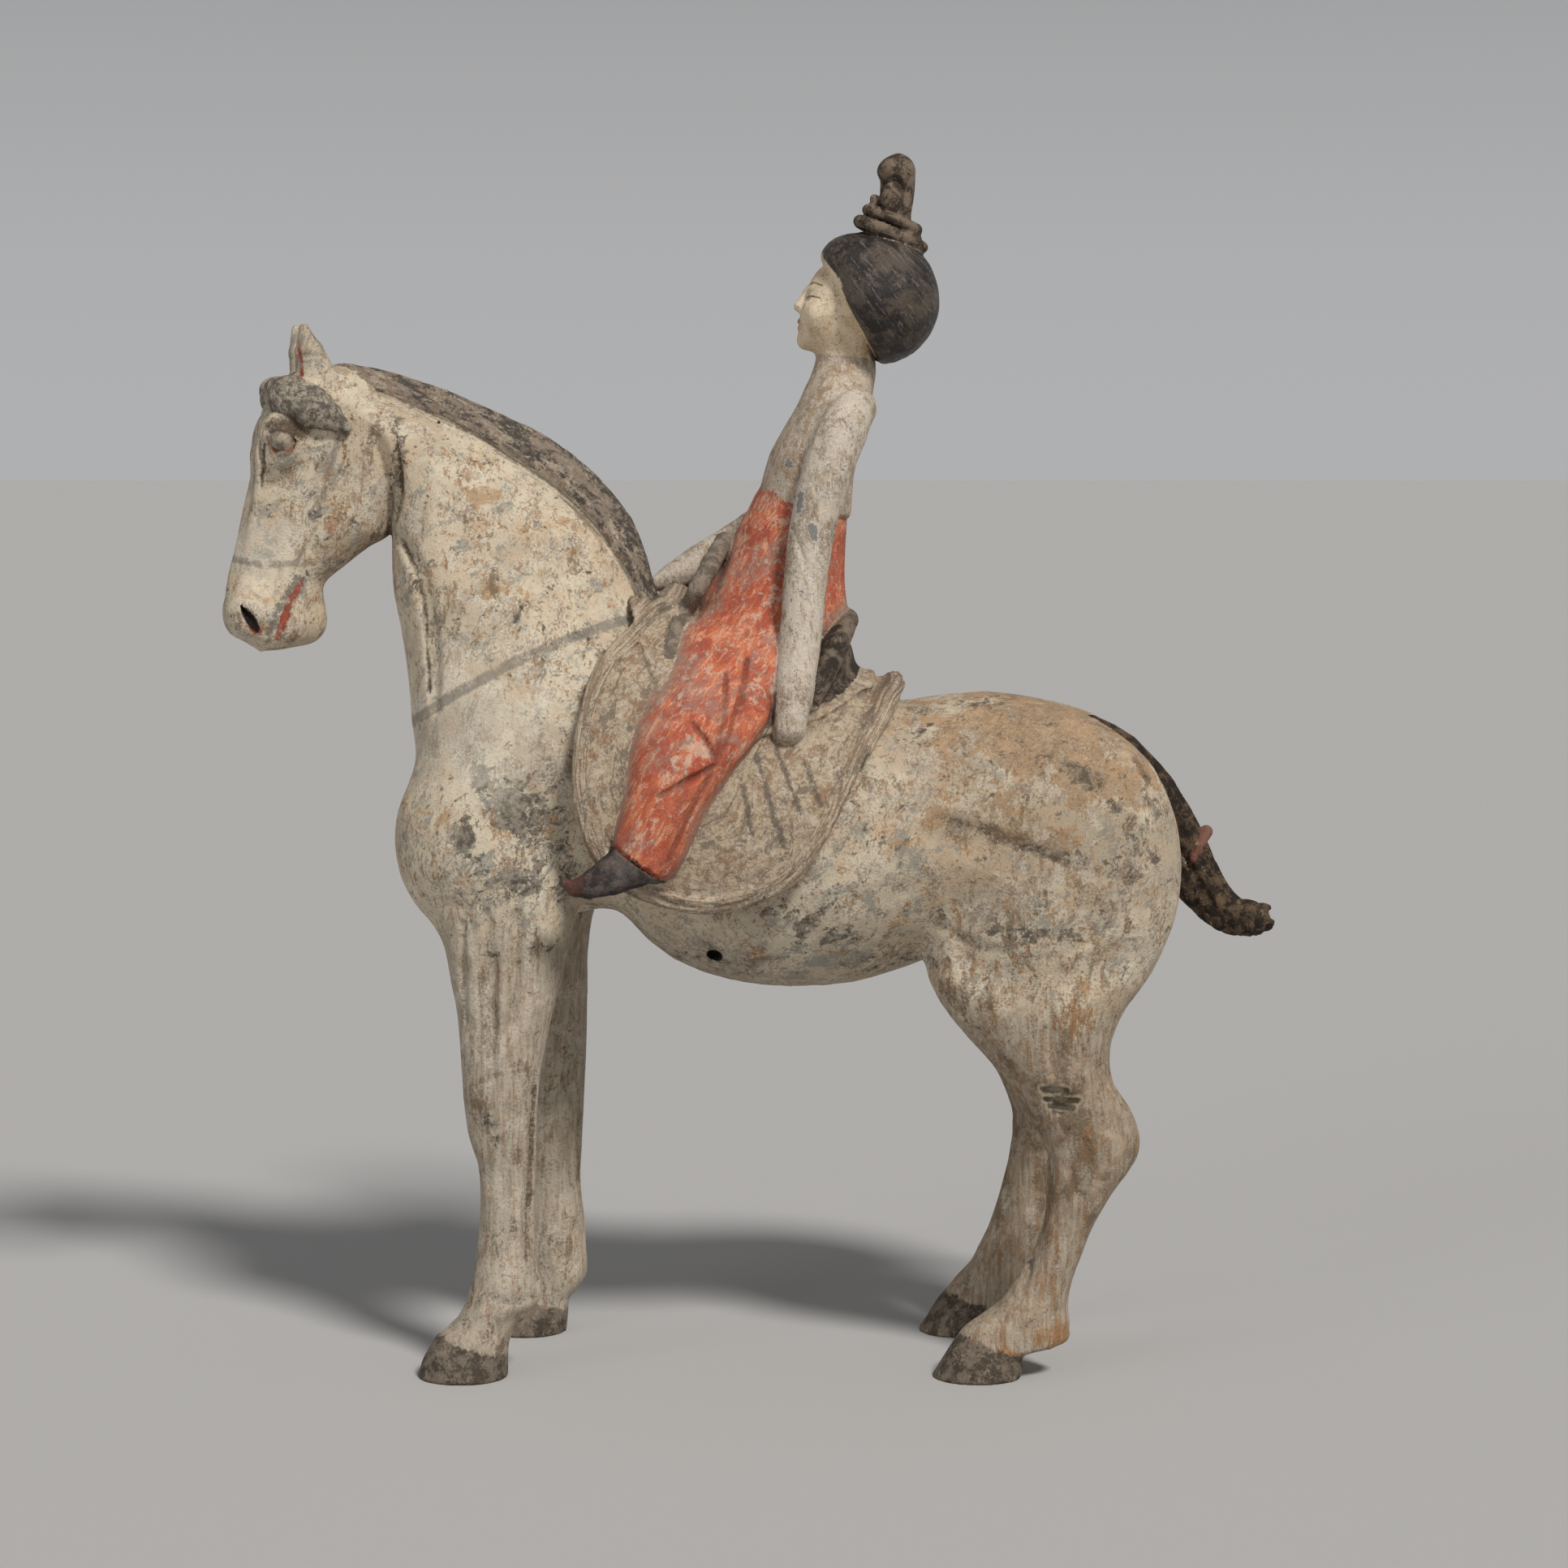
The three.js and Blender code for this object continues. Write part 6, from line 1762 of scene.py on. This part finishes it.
def hoof_zone(p):
    """Height above the upper edge of the horn, which slopes down from the front."""
    front = np.zeros(len(p))
    for x, side in HOOF_FRONTS:
        front = np.where(((p[:, 0] < 0) == (x < 0)) & (side * p[:, 1] > 0), x, front)
    return np.clip(p[:, 2] - HORN_HEIGHT + 0.32 * (p[:, 0] - front), -5, 5)


def horse_zones(skin):
    p = skin.points
    t, v, u = into_head(*p.T)
    on_head = (p[:, 0] < -120) & (p[:, 2] > 285) & (t > -20)
    h = np.stack((t, np.abs(v), u), 1)
    legs = np.where(p[:, 0] < 0, smoothstep(p[:, 2], 205, 160), smoothstep(p[:, 2], 180, 125))
    zones = {
        "cavity": skin.cavity(),
        "harness": harness_zone(p, h, on_head),
        "bridled": on_head,
        "hole_shade": hole_shade_zone(p, h, on_head),
        "crease_shade": crease_shade_zone(p, h, on_head),
        "hoof": hoof_zone(p),
        "leg": legs,
        "hind": legs * (p[:, 0] > 0),
        "wear": spots(p, WORN_AND_SHADED) + 0.75 * spots(p - (11, 0, 5), WORN_AND_SHADED, 1),
        "rust": spots(p, RUSTY),
    }
    for name, places in PATCHES.items():
        zones[name] = np.maximum(spots(p, places), spots(p - (8, 0, -4), places, 1))
    return zones | hair_zones(skin, on_head) | mouth_and_eye_zones(h, on_head)


RIDER_PARTS = ("saddle", "skirt", "boot", "bodice", "sleeve", "face", "hair", "topknot")
CANTLE_FOOT = [(20, 271), (31, 274), (37.5, 277.5), (43.3, 283), (47.2, 289.5), (52, 302)]
CHIPS = [
    (19.7, 354, 2.4, 5.5, 0, 1), (25.6, 342, 2.4, 4.6, 10, 1), (16, 369, 1.5, 3, 0, 1),
    (16.6, 345, 2, 2.5, 0, 1),
]


def dress_zones(field, p):
    """How far each point lies inside each part of the rider, with skirt and boot as one part."""
    leg = np.minimum(field["skirt"], field["boot"])
    (cx, cz), (nx, nz) = CUFF
    beyond_cuff = (p[:, 0] - cx) * nx + (p[:, 2] - cz) * nz
    at_foot = (p[:, 2] < 240) & (p[:, 0] < -15) & (np.abs(p[:, 1]) > 45)
    beyond_cuff = np.where(at_foot, beyond_cuff, -FAR)
    zones = {}
    for name in field:
        if name in ("skirt", "boot"):
            others = [field[n] for n in field if n not in ("skirt", "boot")]
            zones[name] = np.minimum.reduce(others) - leg
        else:
            zones[name] = np.minimum.reduce([field[n] for n in field if n != name]) - field[name]
    zones["boot"] = np.minimum(zones["boot"], beyond_cuff)
    return zones


def board_zones(field, skin):
    """The raised back and the front bar, where no part of the rider covers them."""
    p = skin.points
    free = np.minimum.reduce([field[name] for name in field if name != "saddle"])
    zones = {}
    for name, reach in (("cantle", 6), ("pommel", 0.7)):
        board = np.maximum(skin.zone(name) - 0.6, field["saddle"] - 0.6)
        zones[name] = np.minimum(free, reach) - board - 0.3
    foot = p[:, 2] - np.interp(p[:, 0], *np.transpose(CANTLE_FOOT))
    zones["cantle"] = np.minimum(zones["cantle"], foot)
    return zones


def lip_zone(p):
    f = np.stack(into_rider_head(*p.T), 1)
    f[:, 1] = np.abs(f[:, 1])
    lips = np.minimum.reduce([rope(lip).distance(*f.T) for lip in (UPPER_LIP, LOWER_LIP)])
    return np.where(f[:, 0] < -8, lips, FAR)


def rider_zones(skin):
    p = skin.points
    field = {name: skin.zone(name) for name in RIDER_PARTS}
    field["face"] = field["face"] - 5 * smoothstep(p[:, 2] + 0.35 * (p[:, 0] - 30), 411, 416)
    zones = dress_zones(field, p) | board_zones(field, skin)
    zones = {name: np.clip(values, -5, 5) for name, values in zones.items()}
    fold_shade = [line_distance(p, [(x, z) for x, z, _ in fold]) for fold in KNEE_FOLDS]
    return zones | {
        "cavity": skin.cavity(),
        "rim": RIM_WIDTH + cloth_edge(p[:, 0], p[:, 2]),
        "around": 55 * np.arctan2(p[:, 0], 250 - p[:, 2]),
        "hem": field["saddle"],
        "toe": smoothstep(p[:, 0], -62, -70),
        "chips": spots(p, CHIPS) * smoothstep(-skin.normal[:, 1], 0.35, 0.6),
        "fold_shade": np.minimum.reduce(fold_shade),
        "lips": lip_zone(p),
    }


# Build

horse_form = build_horse()
rider_form = build_rider(horse_form)
horse, skin = sculpted("horse_surface", horse_form, HORSE_CELL, horse_relief)
keep_zones(horse, horse_zones(skin))
horse.data.materials.append(horse_material())
rider, skin = sculpted("rider_surface", rider_form, RIDER_CELL, rider_relief)
keep_zones(rider, rider_zones(skin))
rider.data.materials.append(rider_material())
for piece, node, slot in (
    (horse, "horse", "horse_slip"),
    (rider, "rider_and_saddle", "rider_paint"),
):
    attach(piece, "root")
    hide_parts(node)


# Stage

FLOOR_COLOUR = (0.47, 0.465, 0.458, 1)
ROOM_COLOUR = (0.98, 0.985, 1, 1)
WALL_LIGHT = 0.44
ROOM_LIGHT = 0.22
CAMERA_PLACE = (0.014 - MILLIMETRE * CENTRE_X, -1.5, 0.38)
CAMERA_PITCH = math.radians(5.42)
SENSOR_WIDTH = 36
CAMERA_LENS = SENSOR_WIDTH * 4521 / 1932


def build_floor():
    bpy.ops.mesh.primitive_plane_add(size=60, location=(0, 0, 0))
    floor = bpy.context.object
    floor.name = "floor"
    m = bpy.data.materials.new("floor")
    m.use_nodes = True
    shader = m.node_tree.nodes["Principled BSDF"]
    shader.inputs["Base Color"].default_value = FLOOR_COLOUR
    shader.inputs["Roughness"].default_value = 0.95
    floor.data.materials.append(m)


def build_room():
    """Light from all around, brighter from low down than from above."""
    world = bpy.data.worlds.new("studio")
    bpy.context.scene.world = world
    world.use_nodes = True
    tree = world.node_tree
    where = tree.nodes.new("ShaderNodeTexCoord")
    parts = tree.nodes.new("ShaderNodeSeparateXYZ")
    height = tree.nodes.new("ShaderNodeMapRange")
    height.interpolation_type = "SMOOTHSTEP"
    height.inputs["From Max"].default_value = 0.3
    height.inputs["To Min"].default_value = WALL_LIGHT
    height.inputs["To Max"].default_value = ROOM_LIGHT
    tree.links.new(where.outputs["Generated"], parts.inputs[0])
    tree.links.new(parts.outputs["Z"], height.inputs["Value"])
    tree.links.new(height.outputs["Result"], tree.nodes["Background"].inputs["Strength"])
    tree.nodes["Background"].inputs["Color"].default_value = ROOM_COLOUR


def sun_light(name, place, strength, softness, warmth):
    """A distant light that shines from the place given towards the object."""
    light = bpy.data.lights.new(name, "SUN")
    light.energy = strength
    light.angle = math.radians(softness)
    light.color = warmth
    lamp = bpy.data.objects.new(name, light)
    lamp.rotation_euler = Vector(place).to_track_quat("Z", "Y").to_euler()
    bpy.context.scene.collection.objects.link(lamp)


def build_camera():
    camera = bpy.data.cameras.new("camera")
    camera.lens = CAMERA_LENS
    camera.sensor_width = SENSOR_WIDTH
    thing = bpy.data.objects.new("camera", camera)
    thing.location = CAMERA_PLACE
    thing.rotation_euler = (math.pi / 2 - CAMERA_PITCH, 0, 0)
    bpy.context.scene.collection.objects.link(thing)
    bpy.context.scene.camera = thing


build_floor()
build_room()
sun_light("key", (0.5, -0.78, 1.0), 2.75, 11, (1, 0.97, 0.94))
sun_light("fill", (-0.8, -0.75, 0.3), 0.42, 30, (0.97, 0.98, 1))
build_camera()
bpy.context.scene.view_settings.view_transform = "Standard"
